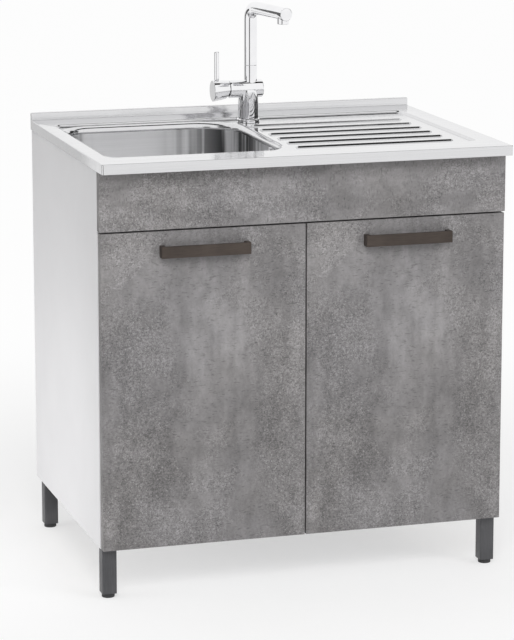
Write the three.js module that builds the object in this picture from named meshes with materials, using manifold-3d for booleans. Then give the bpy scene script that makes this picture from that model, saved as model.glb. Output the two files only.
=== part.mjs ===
// Kitchen sink unit: a two-door base cabinet on legs, a sit-on steel sink with a drainer, and a tap.
// Millimetres. +X is to the right seen from the front, +Y to the back and +Z up.
// The origin is on the floor, under the middle of the sink top.
import * as THREE from "three";
import { mergeVertices } from "three/addons/utils/BufferGeometryUtils.js";
import Module from "manifold-3d";

const wasm = await Module();
wasm.setup();

// ---- Clearances ----
const seat = 0.3; // between two fixed pieces that meet
const running = 0.4; // round a piece that turns or slides

// ---- Sink top ----
const sinkWidth = 800;
const sinkDepth = 600;
const deckTop = 835; // top of the rim above the floor
const steel = 1; // sheet thickness
const apronDrop = 19; // height of the folded edge
const rimRound = 2;
const sinkCorner = 4;
const upstandRise = 15;
const upstandThickness = 12;

// ---- Pressed field that holds the bowl and the drainer ----
const fieldDepth = 4;
const fieldSlope = 3; // width of its sloping border
const fieldCorner = 16;
const borderLeft = 29;
const borderRight = 42;
const borderFront = 77;
const borderRear = 84;

// ---- Bowl ----
const bowlLength = 342.5; // along X, at the opening
const bowlBreadth = 404; // along Y, at the opening
const bowlDepth = 155; // from the field down to the drain
const bowlMargin = 0.5; // between the rolled edge and the border of the field
const bowlEdgeRound = 11;
const bowlCollar = 2; // upright strip under the rolled edge, where the bowl is welded on
const bowlCornerLeft = 50;
const bowlCornerRight = 85;
const bowlUpright = 44; // depth of the band that stays upright, which carries the overflow
const bowlDraft = 9; // how far the walls lean in below that band
const bowlFloorRound = 36;
const bowlFall = 4; // slope of the floor towards the drain

// ---- Drainer ribs ----
const ribCount = 6;
const ribLength = 319.5;
const ribWidth = 15;
const ribHeight = 3.4;
const ribShoulder = 2.1; // width of its steep flank
const ribShoulderHeight = 2.4;
const ribCrown = 5; // from its foot in to the flat of its top
const ribFromBowl = 19; // from the bowl opening to the ends of the ribs
const ribFromField = 43; // from the front border of the field to the middle of the first rib
const ribFromTap = 30; // from the last rib's edge to the tap's base ring

// ---- Tap ----
const tapFromBowl = 32.5; // tap axis, to the right of the bowl opening
const tapFromRear = 128; // tap axis, in front of the sink's back edge
const baseRingRadius = 23;
const baseRingHeight = 8;
const columnRadius = 20.5;
const barrelRadius = 17.8;
const barrelHeight = 67.5; // axis of the cross barrel above the field
const barrelLeft = 40.3; // reach of the barrel to the left of the tap axis
const barrelRight = 28;
const riserShift = 5; // the riser stands this far to the right of the tap axis
const riserRadius = 13;
const stubHeight = 115; // top of the fixed riser stub above the field
const riserHeight = 231.5; // axis of the spout's arm above the field
const spoutBend = 27; // how far the bend reaches from the spout's corner
const spoutReach = 150; // riser axis to the end of the arm
const spoutTurn = 11; // degrees from straight ahead to the right, where it is parked
const spoutFall = 0.8; // degrees the arm sinks towards its end
const spoutBore = 7.8;
const spigotRadius = 9.2;
const spigotLength = 26;
const aeratorRadius = 11.6;
const aeratorDrop = 7; // how far it shows under the arm
const aeratorFromEnd = 14;
const shankRadius = 16;
const shankLength = 56; // threaded part below the field
const leverTilt = 20; // degrees the lever tilts outwards to open the water
const knobGap = 1.2; // between the barrel and the knob
const knobLength = 33;
const knobFlare = 3.6; // growth of its radius towards the end
const knobDrop = 2.2; // how far its end hangs below the barrel's axis
const knobEdge = 1.2;
const pivotInset = 9.8; // lever pivot inside the barrel's left end
const rodRadius = 5;
const rodLength = 57;
const rodFromEnd = 9;
const rodSpigot = 8;

// ---- Drain, overflow and trap ----
const drainRadius = 44; // hole in the bowl floor
const drainFlangeRadius = 56;
const drainFlat = 60; // radius of the level part of the floor round the drain
const drainCupDepth = 38;
const drainWall = 1.5;
const tailRadius = 21.6;
const tailWall = 2.4;
const tailLength = 102;
const trapRadius = 37;
const trapWall = 3;
const trapDrop = 112; // from the bowl floor down to the top of the trap
const trapHeight = 84;
const outletRadius = 20;
const outletWall = 2.2;
const outletFromBack = 10; // end of the outlet pipe, in front of the sink's back edge
const overflowFromCentre = 74; // in front of the bowl's middle
const overflowDepth = 29; // centre of the overflow below the field
const overflowRadius = 13;
const overflowPipeRadius = 10.5;
const overflowPipeWall = 2.1;
const basketSheet = 1.5; // wall of the strainer basket
const basketDepth = 28;
const basketPostRadius = 4;
const basketKnobRadius = 7;
const basketKnobHeight = 4;
const trapCupDepth = 40; // how far the cup reaches below the trap's body
const trapCupOverlap = 16; // how far it is screwed over the body
const trapGripHeight = 26;
const outletCollarLength = 16;
const outletSocketLength = 18;
const overflowLead = 52; // how far out the overflow pipe swings on its way into the drain

// ---- Cabinet ----
const board = 18; // thickness of every board
const frontOverhang = 33.5; // sink front edge to door front
const legHeight = 98; // floor to the underside of the boards
const fasciaHeight = 130;
const doorGap = 3;
const doorReveal = 1.5; // side panel face to door edge
const doorStandOff = 2.5; // doors stand this far in front of the side panels
const frontRailHeight = 144;
const rearTopRailHeight = 100;
const rearLowerRailHeight = 80;

// ---- Handles ----
const handleLength = 172;
const handleHeight = 22;
const handleDepth = 20;
const handlePlate = 5.5; // thickness of the front bar
const handleFoot = 9; // width of its two end feet
const handleFromTop = 26;
const handleEdge = 0.8;

// ---- Legs ----
const legSize = 28;
const legCorner = 2.5;
const legWall = 2.5;
const legInset = 4; // from the side panel's face
const legFromDoor = 1.5; // behind the back of the doors
const legFromBack = 25;
const footHeight = 8; // gap under the leg that the foot fills
const footRadius = 12.5;
const footStemRadius = 5;
const footStemLength = 56;

// ---- Door hinges, in the hinge's own axes: x from the panel's face, y from the panel's front edge ----
const hingeFromEnd = 100; // hinge centre from the door's top or bottom
const pinX = 7.5;
const pinY = -9.5;
const pinRadius = 1;
const pinLength = 15.4;
const eyeRadius = 2.1;
const armWidth = 8;
const armSheet = 1.6;
const armDip = 0.7; // the arm passes this far in front of the pin's axis
const armNeckReach = 14.5; // from the pin to the far face of the neck
const channelWidth = 12;
const channelHeight = 9.7;
const channelStart = 9;
const channelEnd = 62;
const cupX = 22;
const cupRadius = 17.5; // bore in the door
const cupDepth = 11.5;
const cupWall = 1;
const wingLength = 60;
const wingWidth = 14;
const plateThickness = 2.6;
const plateLength = 52;
const plateWidth = 14;

// ---- Facets: how many sides a full circle gets, by how large it shows ----
const wideSides = 24;
const roundSides = 18;
const smallSides = 10;
const cornerSteps = 2; // sides in each round corner of a small fitting
const pinSides = 8;
const bowlSteps = 6; // sides in each corner of the bowl

// ---- Sink clips ----
const clipSheet = 1.5;
const clipWidth = 24;
const clipLength = 42;
const clipReach = 12;
const clipFromFront = 110;
const clipFromBack = 120;

// ---- Places worked out from the sizes above ----
const fieldTop = deckTop - fieldDepth;
const xLeft = -sinkWidth / 2;
const xRight = sinkWidth / 2;
const yFront = -sinkDepth / 2;
const yBack = sinkDepth / 2;
const boardTop = deckTop - steel - seat;
const panelX = xRight - rimRound; // outer face of a side panel, under the flat of the rim
const innerX = panelX - board;
const doorFront = yFront + frontOverhang;
const doorBack = doorFront + board;
const panelFront = doorBack + doorStandOff;
const panelBack = yBack - sinkCorner; // where the apron's corner starts to bend
const fasciaBottom = boardTop - fasciaHeight;
const doorTop = fasciaBottom - doorGap;
const bowlX0 = xLeft + borderLeft + fieldSlope + bowlMargin + bowlEdgeRound;
const bowlY0 = yFront + borderFront + fieldSlope + bowlMargin + bowlEdgeRound;
const bowlX1 = bowlX0 + bowlLength;
const bowlY1 = bowlY0 + bowlBreadth;
const bowlXMid = (bowlX0 + bowlX1) / 2;
const bowlYMid = (bowlY0 + bowlY1) / 2;
const bowlFloor = fieldTop - bowlDepth;
const collarBottom = fieldTop - bowlEdgeRound - bowlCollar;
const tapX = bowlX1 + tapFromBowl;
const tapY = yBack - tapFromRear;
const barrelZ = fieldTop + barrelHeight;
const riserX = tapX + riserShift;
const ribX0 = bowlX1 + ribFromBowl;
const firstRibY = yFront + borderFront + ribFromField;
const lastRibY = tapY - baseRingRadius - ribFromTap - ribWidth / 2;
const ribPitch = (lastRibY - firstRibY) / (ribCount - 1);
const rad = THREE.MathUtils.degToRad;

// ---- Solids ----

// A closed surface from corner points and faces, turned so that its faces point outwards.
function solidFrom(positions, faces) {
  let volume = 0;
  const a = new THREE.Vector3();
  const b = new THREE.Vector3();
  const c = new THREE.Vector3();
  for (let i = 0; i < faces.length; i += 3) {
    a.fromArray(positions, faces[i] * 3);
    b.fromArray(positions, faces[i + 1] * 3);
    c.fromArray(positions, faces[i + 2] * 3);
    volume += a.dot(b.cross(c));
  }
  const turned = volume < 0 ? faces.slice().reverse() : faces;
  return new wasm.Manifold(
    new wasm.Mesh({
      numProp: 3,
      vertProperties: new Float32Array(positions),
      triVerts: new Uint32Array(turned),
    }),
  );
}

// A three.js geometry as a solid, with its shared corners merged and its empty faces dropped.
function solid(geometry) {
  const bare = geometry.clone();
  bare.deleteAttribute("normal");
  bare.deleteAttribute("uv");
  const merged = mergeVertices(bare, 1e-4);
  const index = merged.index.array;
  const faces = [];
  for (let i = 0; i < index.length; i += 3) {
    const [p, q, r] = [index[i], index[i + 1], index[i + 2]];
    if (p !== q && q !== r && r !== p) faces.push(p, q, r);
  }
  return solidFrom(Array.from(merged.getAttribute("position").array), faces);
}

const join = (first, ...rest) => rest.reduce((whole, piece) => whole.add(piece), first);
const cut = (first, ...rest) => rest.reduce((whole, piece) => whole.subtract(piece), first);

function geometryOf(body) {
  const mesh = body.getMesh();
  return new THREE.BufferGeometry()
    .setAttribute("position", new THREE.BufferAttribute(mesh.vertProperties, 3))
    .setIndex(new THREE.BufferAttribute(mesh.triVerts, 1));
}

function box(x0, x1, y0, y1, z0, z1) {
  const shape = new THREE.BoxGeometry(x1 - x0, y1 - y0, z1 - z0);
  return solid(shape.translate((x0 + x1) / 2, (y0 + y1) / 2, (z0 + z1) / 2));
}

// A cylinder from one height to another along X, Y or Z, centred on the other two coordinates.
function rod(axis, radius, from, to, u, v, sides = roundSides) {
  const shape = new THREE.CylinderGeometry(radius, radius, to - from, sides);
  const middle = (from + to) / 2;
  if (axis === "x") return solid(shape.rotateZ(Math.PI / 2).translate(middle, u, v));
  if (axis === "y") return solid(shape.translate(u, middle, v));
  return solid(shape.rotateX(Math.PI / 2).translate(u, v, middle));
}

// A solid turned about a vertical axis at x, y. The profile is a closed list of [radius, height].
function turned(profile, x, y, z, sides = wideSides) {
  const points = [...profile, profile[0]].map(([r, h]) => new THREE.Vector2(r, h));
  const shape = new THREE.LatheGeometry(points, sides);
  return solid(shape.rotateX(Math.PI / 2).translate(x, y, z));
}

// A flat outline in X and Y, drawn by a function, raised from z0 to z1.
function prism(draw, z0, z1, edge = 0, steps = cornerSteps) {
  const outline = new THREE.Shape();
  draw(outline);
  const shape = new THREE.ExtrudeGeometry(outline, {
    depth: z1 - z0 - 2 * edge,
    bevelEnabled: edge > 0,
    bevelThickness: edge,
    bevelSize: edge,
    bevelOffset: -edge,
    bevelSegments: 1,
    curveSegments: steps,
  });
  return shape.translate(0, 0, z0 + edge);
}

// Draws a rectangle with round corners.
function roundRect(outline, x0, x1, y0, y1, r) {
  outline.moveTo(x0 + r, y0);
  outline.lineTo(x1 - r, y0);
  outline.absarc(x1 - r, y0 + r, r, -Math.PI / 2, 0, false);
  outline.lineTo(x1, y1 - r);
  outline.absarc(x1 - r, y1 - r, r, 0, Math.PI / 2, false);
  outline.lineTo(x0 + r, y1);
  outline.absarc(x0 + r, y1 - r, r, Math.PI / 2, Math.PI, false);
  outline.lineTo(x0, y0 + r);
  outline.absarc(x0 + r, y0 + r, r, Math.PI, 1.5 * Math.PI, false);
}

// One level outline of a rectangle with four corner radii: front left, front right, rear right, rear left.
function ring(area, grow, z, sides) {
  const [x0, x1, y0, y1] = [area.x0 - grow, area.x1 + grow, area.y0 - grow, area.y1 + grow];
  const radii = area.radii.map((r) => Math.max(r + grow, 0.01));
  const centres = [
    [x0 + radii[0], y0 + radii[0]],
    [x1 - radii[1], y0 + radii[1]],
    [x1 - radii[2], y1 - radii[2]],
    [x0 + radii[3], y1 - radii[3]],
  ];
  const points = [];
  centres.forEach(([cx, cy], corner) => {
    for (let i = 0; i <= sides; i++) {
      const angle = Math.PI + (corner + i / sides) * (Math.PI / 2);
      points.push([cx + radii[corner] * Math.cos(angle), cy + radii[corner] * Math.sin(angle), z]);
    }
  });
  return points;
}

// A skin through a stack of outlines. It is closed by its first and last outline, or runs back to the
// first one, as the wall of a bowl with a hole in its floor does.
function loft(rings, endless = false) {
  const n = rings[0].length;
  const positions = rings.flat(2);
  const faces = [];
  const pairs = endless ? rings.length : rings.length - 1;
  for (let k = 0; k < pairs; k++) {
    const low = k * n;
    const high = ((k + 1) % rings.length) * n;
    for (let i = 0; i < n; i++) {
      const j = (i + 1) % n;
      faces.push(low + i, low + j, high + j, low + i, high + j, high + i);
    }
  }
  const last = (rings.length - 1) * n;
  for (let i = 1; i < n - 1 && !endless; i++) {
    faces.push(0, i + 1, i);
    faces.push(last, last + i, last + i + 1);
  }
  return solidFrom(positions, faces);
}

// A round bar along a path of points, with flat ends square to the path. No path here runs along askew.
const askew = new THREE.Vector3(-0.122, 0.993, 0.013);

function bar(path, radius, sides) {
  const rings = path.map((point, k) => {
    const before = path[Math.max(k - 1, 0)];
    const after = path[Math.min(k + 1, path.length - 1)];
    const along = after.clone().sub(before).normalize();
    const u = new THREE.Vector3().crossVectors(askew, along).normalize();
    const v = new THREE.Vector3().crossVectors(along, u);
    return Array.from({ length: sides }, (_, i) => {
      const angle = (i / sides) * 2 * Math.PI;
      const spot = point.clone().addScaledVector(u, radius * Math.cos(angle));
      return spot.addScaledVector(v, radius * Math.sin(angle)).toArray();
    });
  });
  return loft(rings);
}

// ---- The finished pieces ----

const unit = new THREE.Group();
unit.name = "kitchen_sink_unit";

const finishes = {
  brushed_steel: { color: 0xc9c9cc, roughness: 0.32, metalness: 1 },
  chrome: { color: 0xe6e6e8, roughness: 0.08, metalness: 1 },
  white_board: { color: 0xececee, roughness: 0.55, metalness: 0 },
  concrete_board: { color: 0x85848a, roughness: 0.6, metalness: 0 },
  handle_bronze: { color: 0x40372f, roughness: 0.45, metalness: 0.4 },
  leg_grey: { color: 0x4b4b4f, roughness: 0.5, metalness: 0.1 },
  foot_black: { color: 0x1d1d1f, roughness: 0.7, metalness: 0 },
  hinge_steel: { color: 0xb4b4b8, roughness: 0.35, metalness: 1 },
  white_plastic: { color: 0xe9e9e6, roughness: 0.45, metalness: 0 },
  grey_plastic: { color: 0x8d8f92, roughness: 0.5, metalness: 0 },
  rubber: { color: 0x1a1a1a, roughness: 0.85, metalness: 0 },
};

function piece(name, finish, body) {
  const material = new THREE.MeshStandardMaterial({ ...finishes[finish], flatShading: true });
  const mesh = new THREE.Mesh(geometryOf(body), material);
  mesh.name = name;
  unit.add(mesh);
  return body;
}

// ---- Sink deck: rim, apron, upstand, pressed field and drainer ribs ----

const rimArea = {
  x0: xLeft,
  x1: xRight,
  y0: yFront,
  y1: yBack,
  radii: [sinkCorner, sinkCorner, sinkCorner, sinkCorner],
};
const fieldArea = {
  x0: xLeft + borderLeft,
  x1: xRight - borderRight,
  y0: yFront + borderFront,
  y1: yBack - borderRear,
  radii: [fieldCorner, fieldCorner, fieldCorner, fieldCorner],
};
const bowlArea = {
  x0: bowlX0,
  x1: bowlX1,
  y0: bowlY0,
  y1: bowlY1,
  radii: [bowlCornerLeft, bowlCornerRight, bowlCornerRight, bowlCornerLeft],
};

// The block that the sheet is pressed over: inset 0 gives the outer skin, one steel the inner.
function deckBlock(inset) {
  const bottom = deckTop - apronDrop - inset;
  const top = deckTop - inset;
  const round = rimRound - inset;
  const rings = [ring(rimArea, -inset, bottom, cornerSteps)];
  for (const angle of [0, 45, 90]) {
    const grow = -inset - round * (1 - Math.cos(rad(angle)));
    rings.push(ring(rimArea, grow, top - round * (1 - Math.sin(rad(angle))), cornerSteps));
  }
  const upstand = { ...rimArea, y0: yBack - upstandThickness };
  const crest = top + upstandRise;
  const wall = [
    ring(upstand, -inset, bottom, cornerSteps),
    ring(upstand, -inset, crest - round, cornerSteps),
    ring(upstand, -inset - round * 0.3, crest - round * 0.3, cornerSteps),
    ring(upstand, -inset - round, crest, cornerSteps),
  ];
  return join(loft(rings), loft(wall));
}

function fieldPocket(grow) {
  const top = deckTop - grow;
  const floor = fieldTop - grow;
  return loft([
    ring(fieldArea, grow - fieldSlope, floor, bowlSteps),
    ring(fieldArea, grow, top, bowlSteps),
    ring(fieldArea, grow, top + 2 + grow, bowlSteps),
  ]);
}

function rib(i, inset) {
  const y = firstRibY + i * ribPitch;
  const half = ribWidth / 2;
  const area = {
    x0: ribX0,
    x1: ribX0 + ribLength,
    y0: y - half,
    y1: y + half,
    radii: [half, half, half, half],
  };
  const base = fieldTop - inset;
  const shape = [
    [0, -0.6],
    [0, 0],
    [-ribShoulder, ribShoulderHeight],
    [-ribCrown, ribHeight],
  ];
  const levels = inset ? [shape[0], shape[3]] : shape; // the underside is plainer
  return loft(levels.map(([grow, rise]) => ring(area, grow - inset, base + rise, cornerSteps)));
}

// The rolled edge of the bowl opening, as the hole (thickness 0) or as the outside of its sheet.
function openingCut(thickness) {
  const rings = [ring(bowlArea, thickness, collarBottom - (thickness ? 0 : 1), bowlSteps)];
  const centreZ = fieldTop - bowlEdgeRound;
  const radius = bowlEdgeRound - thickness;
  for (const angle of [90, 60, 30, 0]) {
    const grow = bowlEdgeRound - radius * Math.sin(rad(angle));
    rings.push(ring(bowlArea, grow, centreZ + radius * Math.cos(rad(angle)), bowlSteps));
  }
  const top = thickness ? fieldTop - thickness / 2 : fieldTop + 1;
  rings.push(ring(bowlArea, bowlEdgeRound, top, bowlSteps));
  return loft(rings);
}

function sinkDeck() {
  const ribs = Array.from({ length: ribCount }, (_, i) => i);
  const outside = join(cut(deckBlock(0), fieldPocket(0)), ...ribs.map((i) => rib(i, 0)));
  const below = box(xLeft - 1, xRight + 1, yFront - 1, yBack + 1, 0, deckTop - apronDrop);
  const inside = join(cut(deckBlock(steel), fieldPocket(steel)), ...ribs.map((i) => rib(i, steel)));
  const sheet = cut(cut(outside, below), inside);
  const tapHole = rod("z", shankRadius + 1.5, fieldTop - 5, fieldTop + 5, tapX, tapY);
  return cut(join(sheet, openingCut(steel)), openingCut(0), tapHole);
}
piece("sink_deck", "brushed_steel", sinkDeck());

// ---- Sink bowl, welded under the rolled edge ----

function circleRing(radius, z) {
  const half = { x0: bowlXMid - radius, x1: bowlXMid + radius, y0: bowlYMid - radius, y1: bowlYMid + radius };
  return ring({ ...half, radii: [radius, radius, radius, radius] }, 0, z, bowlSteps);
}

// The outlines of one face of the bowl's wall, from the top edge down to the drain hole.
function bowlSkin(grow) {
  const top = collarBottom - seat;
  const bendTop = bowlFloor + bowlFall + bowlFloorRound;
  const rings = [
    ring(bowlArea, grow, top, bowlSteps),
    ring(bowlArea, grow, fieldTop - bowlEdgeRound - bowlUpright, bowlSteps),
    ring(bowlArea, grow - bowlDraft, bendTop, bowlSteps),
  ];
  for (const angle of [30, 60, 90]) {
    const bend = bowlFloorRound + grow;
    const lean = grow - bowlDraft - bend * (1 - Math.cos(rad(angle)));
    rings.push(ring(bowlArea, lean, bendTop - bend * Math.sin(rad(angle)), bowlSteps));
  }
  rings.push(circleRing(drainFlat, bowlFloor - grow));
  rings.push(circleRing(drainRadius, bowlFloor - grow));
  return rings;
}

const overflowY = bowlYMid - overflowFromCentre;
const overflowZ = fieldTop - overflowDepth;

function sinkBowl() {
  const wall = loft([...bowlSkin(0), ...bowlSkin(steel).reverse()], true);
  return cut(wall, rod("x", overflowRadius, bowlX1 - 5, bowlX1 + 5, overflowY, overflowZ));
}
piece("sink_bowl", "brushed_steel", sinkBowl());

// ---- Overflow: slotted cover inside the bowl, elbow outside it ----

const overflowFlange = overflowRadius + 3;
const elbowInner = bowlX1 + steel + seat;
const elbowDepth = 2 * overflowPipeRadius + 2;
const elbowX = elbowInner + elbowDepth / 2 + 1;
const spigotOuter = overflowPipeRadius - overflowPipeWall - 2 * seat;

function overflowCover() {
  const face = bowlX1 - seat;
  const disc = rod("x", overflowFlange, face - 2, face, overflowY, overflowZ);
  const neck = rod("x", overflowRadius - seat, face - 1, face + 3, overflowY, overflowZ);
  const slots = [-1, 0, 1].map((row) => {
    const reach = overflowRadius * (row === 0 ? 0.72 : 0.55);
    const z = overflowZ + row * 6.4;
    return box(face - 3, face + 4, overflowY - reach, overflowY + reach, z - 1.7, z + 1.7);
  });
  return cut(join(disc, neck), ...slots);
}
piece("overflow_cover", "chrome", overflowCover());

const elbowBottom = overflowZ - overflowFlange - 14;

function overflowElbow() {
  const cup = rod("x", overflowFlange, elbowInner, elbowInner + elbowDepth, overflowY, overflowZ);
  const spigot = rod("z", spigotOuter, elbowBottom, overflowZ, elbowX, overflowY, smallSides);
  const hollow = rod("x", overflowRadius, elbowInner - 1, elbowInner + elbowDepth - 2, overflowY, overflowZ);
  const bore = rod("z", spigotOuter - 2, elbowBottom - 1, overflowZ, elbowX, overflowY, smallSides);
  return cut(join(cup, spigot), hollow, bore);
}
piece("overflow_elbow", "white_plastic", overflowElbow());

// ---- Drain: flange and cup through the bowl floor, gasket, ring nut, basket ----

const drainCup = drainRadius - 1;
const drainSpigot = tailRadius + running + 2;
const drainBottom = -drainCupDepth - 22;
const inletZ = -drainCupDepth + 12; // overflow inlet on the side of the cup
const inletReach = drainCup + 20;

function drainFlange() {
  const wall = drainWall;
  const cup = turned(
    [
      [drainFlangeRadius, seat],
      [drainFlangeRadius, seat + wall],
      [drainCup - wall, seat + wall],
      [drainCup - wall, -drainCupDepth + wall],
      [tailRadius + running, -drainCupDepth - 6 + wall],
      [tailRadius + running, drainBottom],
      [drainSpigot, drainBottom],
      [drainSpigot, -drainCupDepth - 6],
      [drainCup, -drainCupDepth],
      [drainCup, seat],
    ],
    bowlXMid,
    bowlYMid,
    bowlFloor,
  );
  const z = bowlFloor + inletZ;
  const end = bowlXMid + inletReach;
  const stub = rod("x", spigotOuter, bowlXMid + drainCup - 1, end, bowlYMid, z, smallSides);
  const bore = rod("x", spigotOuter - 2, bowlXMid + drainCup - 8, end + 1, bowlYMid, z, smallSides);
  return cut(join(cup, stub), bore);
}
piece("drain_flange", "chrome", drainFlange());

const nutInner = drainCup + running;

piece(
  "drain_gasket",
  "rubber",
  turned(
    [
      [nutInner, -steel - seat],
      [nutInner, -steel - seat - 3],
      [drainFlangeRadius, -steel - seat - 3],
      [drainFlangeRadius, -steel - seat],
    ],
    bowlXMid,
    bowlYMid,
    bowlFloor,
  ),
);

function drainNut() {
  const top = -steel - 2 * seat - 3;
  const body = turned(
    [
      [nutInner, top],
      [nutInner, top - 9],
      [drainFlangeRadius - 3, top - 9],
      [drainFlangeRadius, top],
    ],
    bowlXMid,
    bowlYMid,
    bowlFloor,
  );
  const gripCount = 6;
  const grips = Array.from({ length: gripCount }, (_, i) => {
    const grip = new THREE.BoxGeometry(6, 5, 9);
    grip.translate(drainFlangeRadius, 0, top - 4.5);
    grip.rotateZ((i / gripCount) * 2 * Math.PI + rad(11));
    return solid(grip.translate(bowlXMid, bowlYMid, bowlFloor));
  });
  return join(body, ...grips);
}
piece("drain_nut", "white_plastic", drainNut());

const basketLow = seat + drainWall - basketDepth; // heights from the bowl's floor
const basketTop = seat + drainWall + basketSheet;

function strainerBasket() {
  const rim = drainCup - drainWall - running;
  const wide = rim - 5;
  const low = basketLow;
  const top = basketTop;
  const bend = 6; // radius of the bend between its wall and its floor
  const shell = turned(
    [
      [0, low],
      [wide - bend, low],
      [wide, low + bend],
      [wide, top - 3 * basketSheet],
      [rim, top - basketSheet],
      [rim, top],
      [rim - 2, top],
      [wide - basketSheet, top - 4],
      [wide - basketSheet, low + bend + 0.5],
      [wide - bend - 0.5, low + basketSheet],
      [0, low + basketSheet],
    ],
    bowlXMid,
    bowlYMid,
    bowlFloor,
    roundSides,
  );
  const holeCount = 8;
  const holes = Array.from({ length: holeCount }, (_, i) => {
    const angle = (i / holeCount) * 2 * Math.PI;
    const reach = i % 2 ? 0.7 : 0.4;
    const x = bowlXMid + wide * reach * Math.cos(angle);
    const y = bowlYMid + wide * reach * Math.sin(angle);
    return rod("z", 2.6, bowlFloor + low - 1, bowlFloor + low + 2 * basketSheet, x, y, 6);
  });
  return cut(shell, ...holes);
}
piece("strainer_basket", "chrome", strainerBasket());

// The post in the middle of the basket, with the knob that it is lifted by.
piece(
  "basket_knob",
  "chrome",
  turned(
    [
      [0, basketLow + basketSheet + seat],
      [basketPostRadius, basketLow + basketSheet + seat],
      [basketPostRadius, basketTop - 2],
      [basketKnobRadius, basketTop],
      [basketKnobRadius, basketTop + basketKnobHeight],
      [0, basketTop + basketKnobHeight],
    ],
    bowlXMid,
    bowlYMid,
    bowlFloor,
    smallSides,
  ),
);

// ---- Overflow pipe, pushed over the elbow's and the drain's spigots ----

function overflowPipe() {
  const start = new THREE.Vector3(elbowX, overflowY, overflowZ - overflowFlange - seat);
  const end = new THREE.Vector3(bowlXMid + drainCup + 3, bowlYMid, bowlFloor + inletZ);
  const drop = new THREE.Vector3(elbowX, overflowY, bowlFloor - 4);
  const turn = new THREE.Vector3(elbowX - 8, overflowY, end.z);
  const enter = end.clone().add(new THREE.Vector3(24, 0, 0));
  const lead = end.clone().add(new THREE.Vector3(overflowLead, 0, 0));
  const bend = new THREE.CubicBezierCurve3(drop, turn, lead, enter);
  const path = [start, ...bend.getPoints(7), end];
  const inside = [...path];
  inside[0] = start.clone().add(new THREE.Vector3(0, 0, 5));
  inside[inside.length - 1] = end.clone().add(new THREE.Vector3(-5, 0, 0));
  const bore = bar(inside, overflowPipeRadius - overflowPipeWall, smallSides);
  return cut(bar(path, overflowPipeRadius, smallSides), bore);
}
piece("overflow_pipe", "white_plastic", overflowPipe());

// ---- Tail pipe and bottle trap ----

const tailTop = bowlFloor + drainBottom + 16;
piece(
  "tail_pipe",
  "white_plastic",
  turned(
    [
      [tailRadius - tailWall, 0],
      [tailRadius, 0],
      [tailRadius, -tailLength],
      [tailRadius - tailWall, -tailLength],
    ],
    bowlXMid,
    bowlYMid,
    tailTop,
    roundSides,
  ),
);

const trapTop = bowlFloor - trapDrop;
const trapNeck = tailRadius + running + trapWall + 1;
const outletZ = trapTop - 36;
const socketRadius = outletRadius + running + trapWall;

function trapBody() {
  const shell = turned(
    [
      [tailRadius + running, 0],
      [trapNeck, 0],
      [trapNeck, -8],
      [trapRadius, -16],
      [trapRadius, -trapHeight],
      [trapRadius - trapWall, -trapHeight],
      [trapRadius - trapWall, -16 - trapWall],
      [tailRadius + running, -8 - trapWall],
    ],
    bowlXMid,
    bowlYMid,
    trapTop,
    roundSides,
  );
  const socketEnd = bowlYMid + trapRadius + outletSocketLength;
  const socket = rod("y", socketRadius, bowlYMid + trapRadius - 10, socketEnd, bowlXMid, outletZ);
  const dip = rod("z", trapRadius - trapWall, outletZ - 30, outletZ + 17, bowlXMid, bowlYMid);
  const way = rod("y", outletRadius + running, bowlYMid + 20, socketEnd + 1, bowlXMid, outletZ);
  return cut(join(shell, cut(socket, dip)), way);
}
piece("trap_body", "white_plastic", trapBody());

const cupOuter = trapRadius + running + trapWall;

function trapCup() {
  const top = -trapHeight + trapCupOverlap;
  const floor = -trapHeight - trapCupDepth;
  const shell = turned(
    [
      [trapRadius + running, top],
      [cupOuter, top],
      [cupOuter, floor + 8],
      [cupOuter - 8, floor],
      [0, floor],
      [0, floor + trapWall],
      [cupOuter - 9, floor + trapWall],
      [trapRadius + running, floor + 11],
    ],
    bowlXMid,
    bowlYMid,
    trapTop,
    roundSides,
  );
  const gripCount = 8;
  const grips = Array.from({ length: gripCount }, (_, i) => {
    const grip = new THREE.BoxGeometry(5, 6, trapGripHeight);
    grip.translate(cupOuter - 0.5, 0, top - 7 - trapGripHeight / 2);
    grip.rotateZ((i / gripCount) * 2 * Math.PI);
    return solid(grip.translate(bowlXMid, bowlYMid, trapTop));
  });
  return join(shell, ...grips);
}
piece("trap_cup", "white_plastic", trapCup());

function outletPipe() {
  const from = bowlYMid + trapRadius - trapWall + 6;
  const to = yBack - outletFromBack;
  const outer = rod("y", outletRadius, from, to, bowlXMid, outletZ);
  const collar = rod("y", outletRadius + 3, to - outletCollarLength, to, bowlXMid, outletZ);
  return cut(join(outer, collar), rod("y", outletRadius - outletWall, from - 1, to + 1, bowlXMid, outletZ));
}
piece("trap_outlet_pipe", "white_plastic", outletPipe());

// ---- Tap ----

piece(
  "tap_base_ring",
  "chrome",
  turned(
    [
      [shankRadius + running, seat],
      [baseRingRadius, seat],
      [baseRingRadius, baseRingHeight - 2],
      [baseRingRadius - 1, baseRingHeight],
      [shankRadius + running, baseRingHeight],
    ],
    tapX,
    tapY,
    fieldTop,
  ),
);

const boreRadius = barrelRadius - 2.7; // of the barrel, for the cartridge
const boreEnd = tapX + 2;
const seamX = tapX - barrelLeft;
const stubTop = fieldTop + stubHeight;

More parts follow.
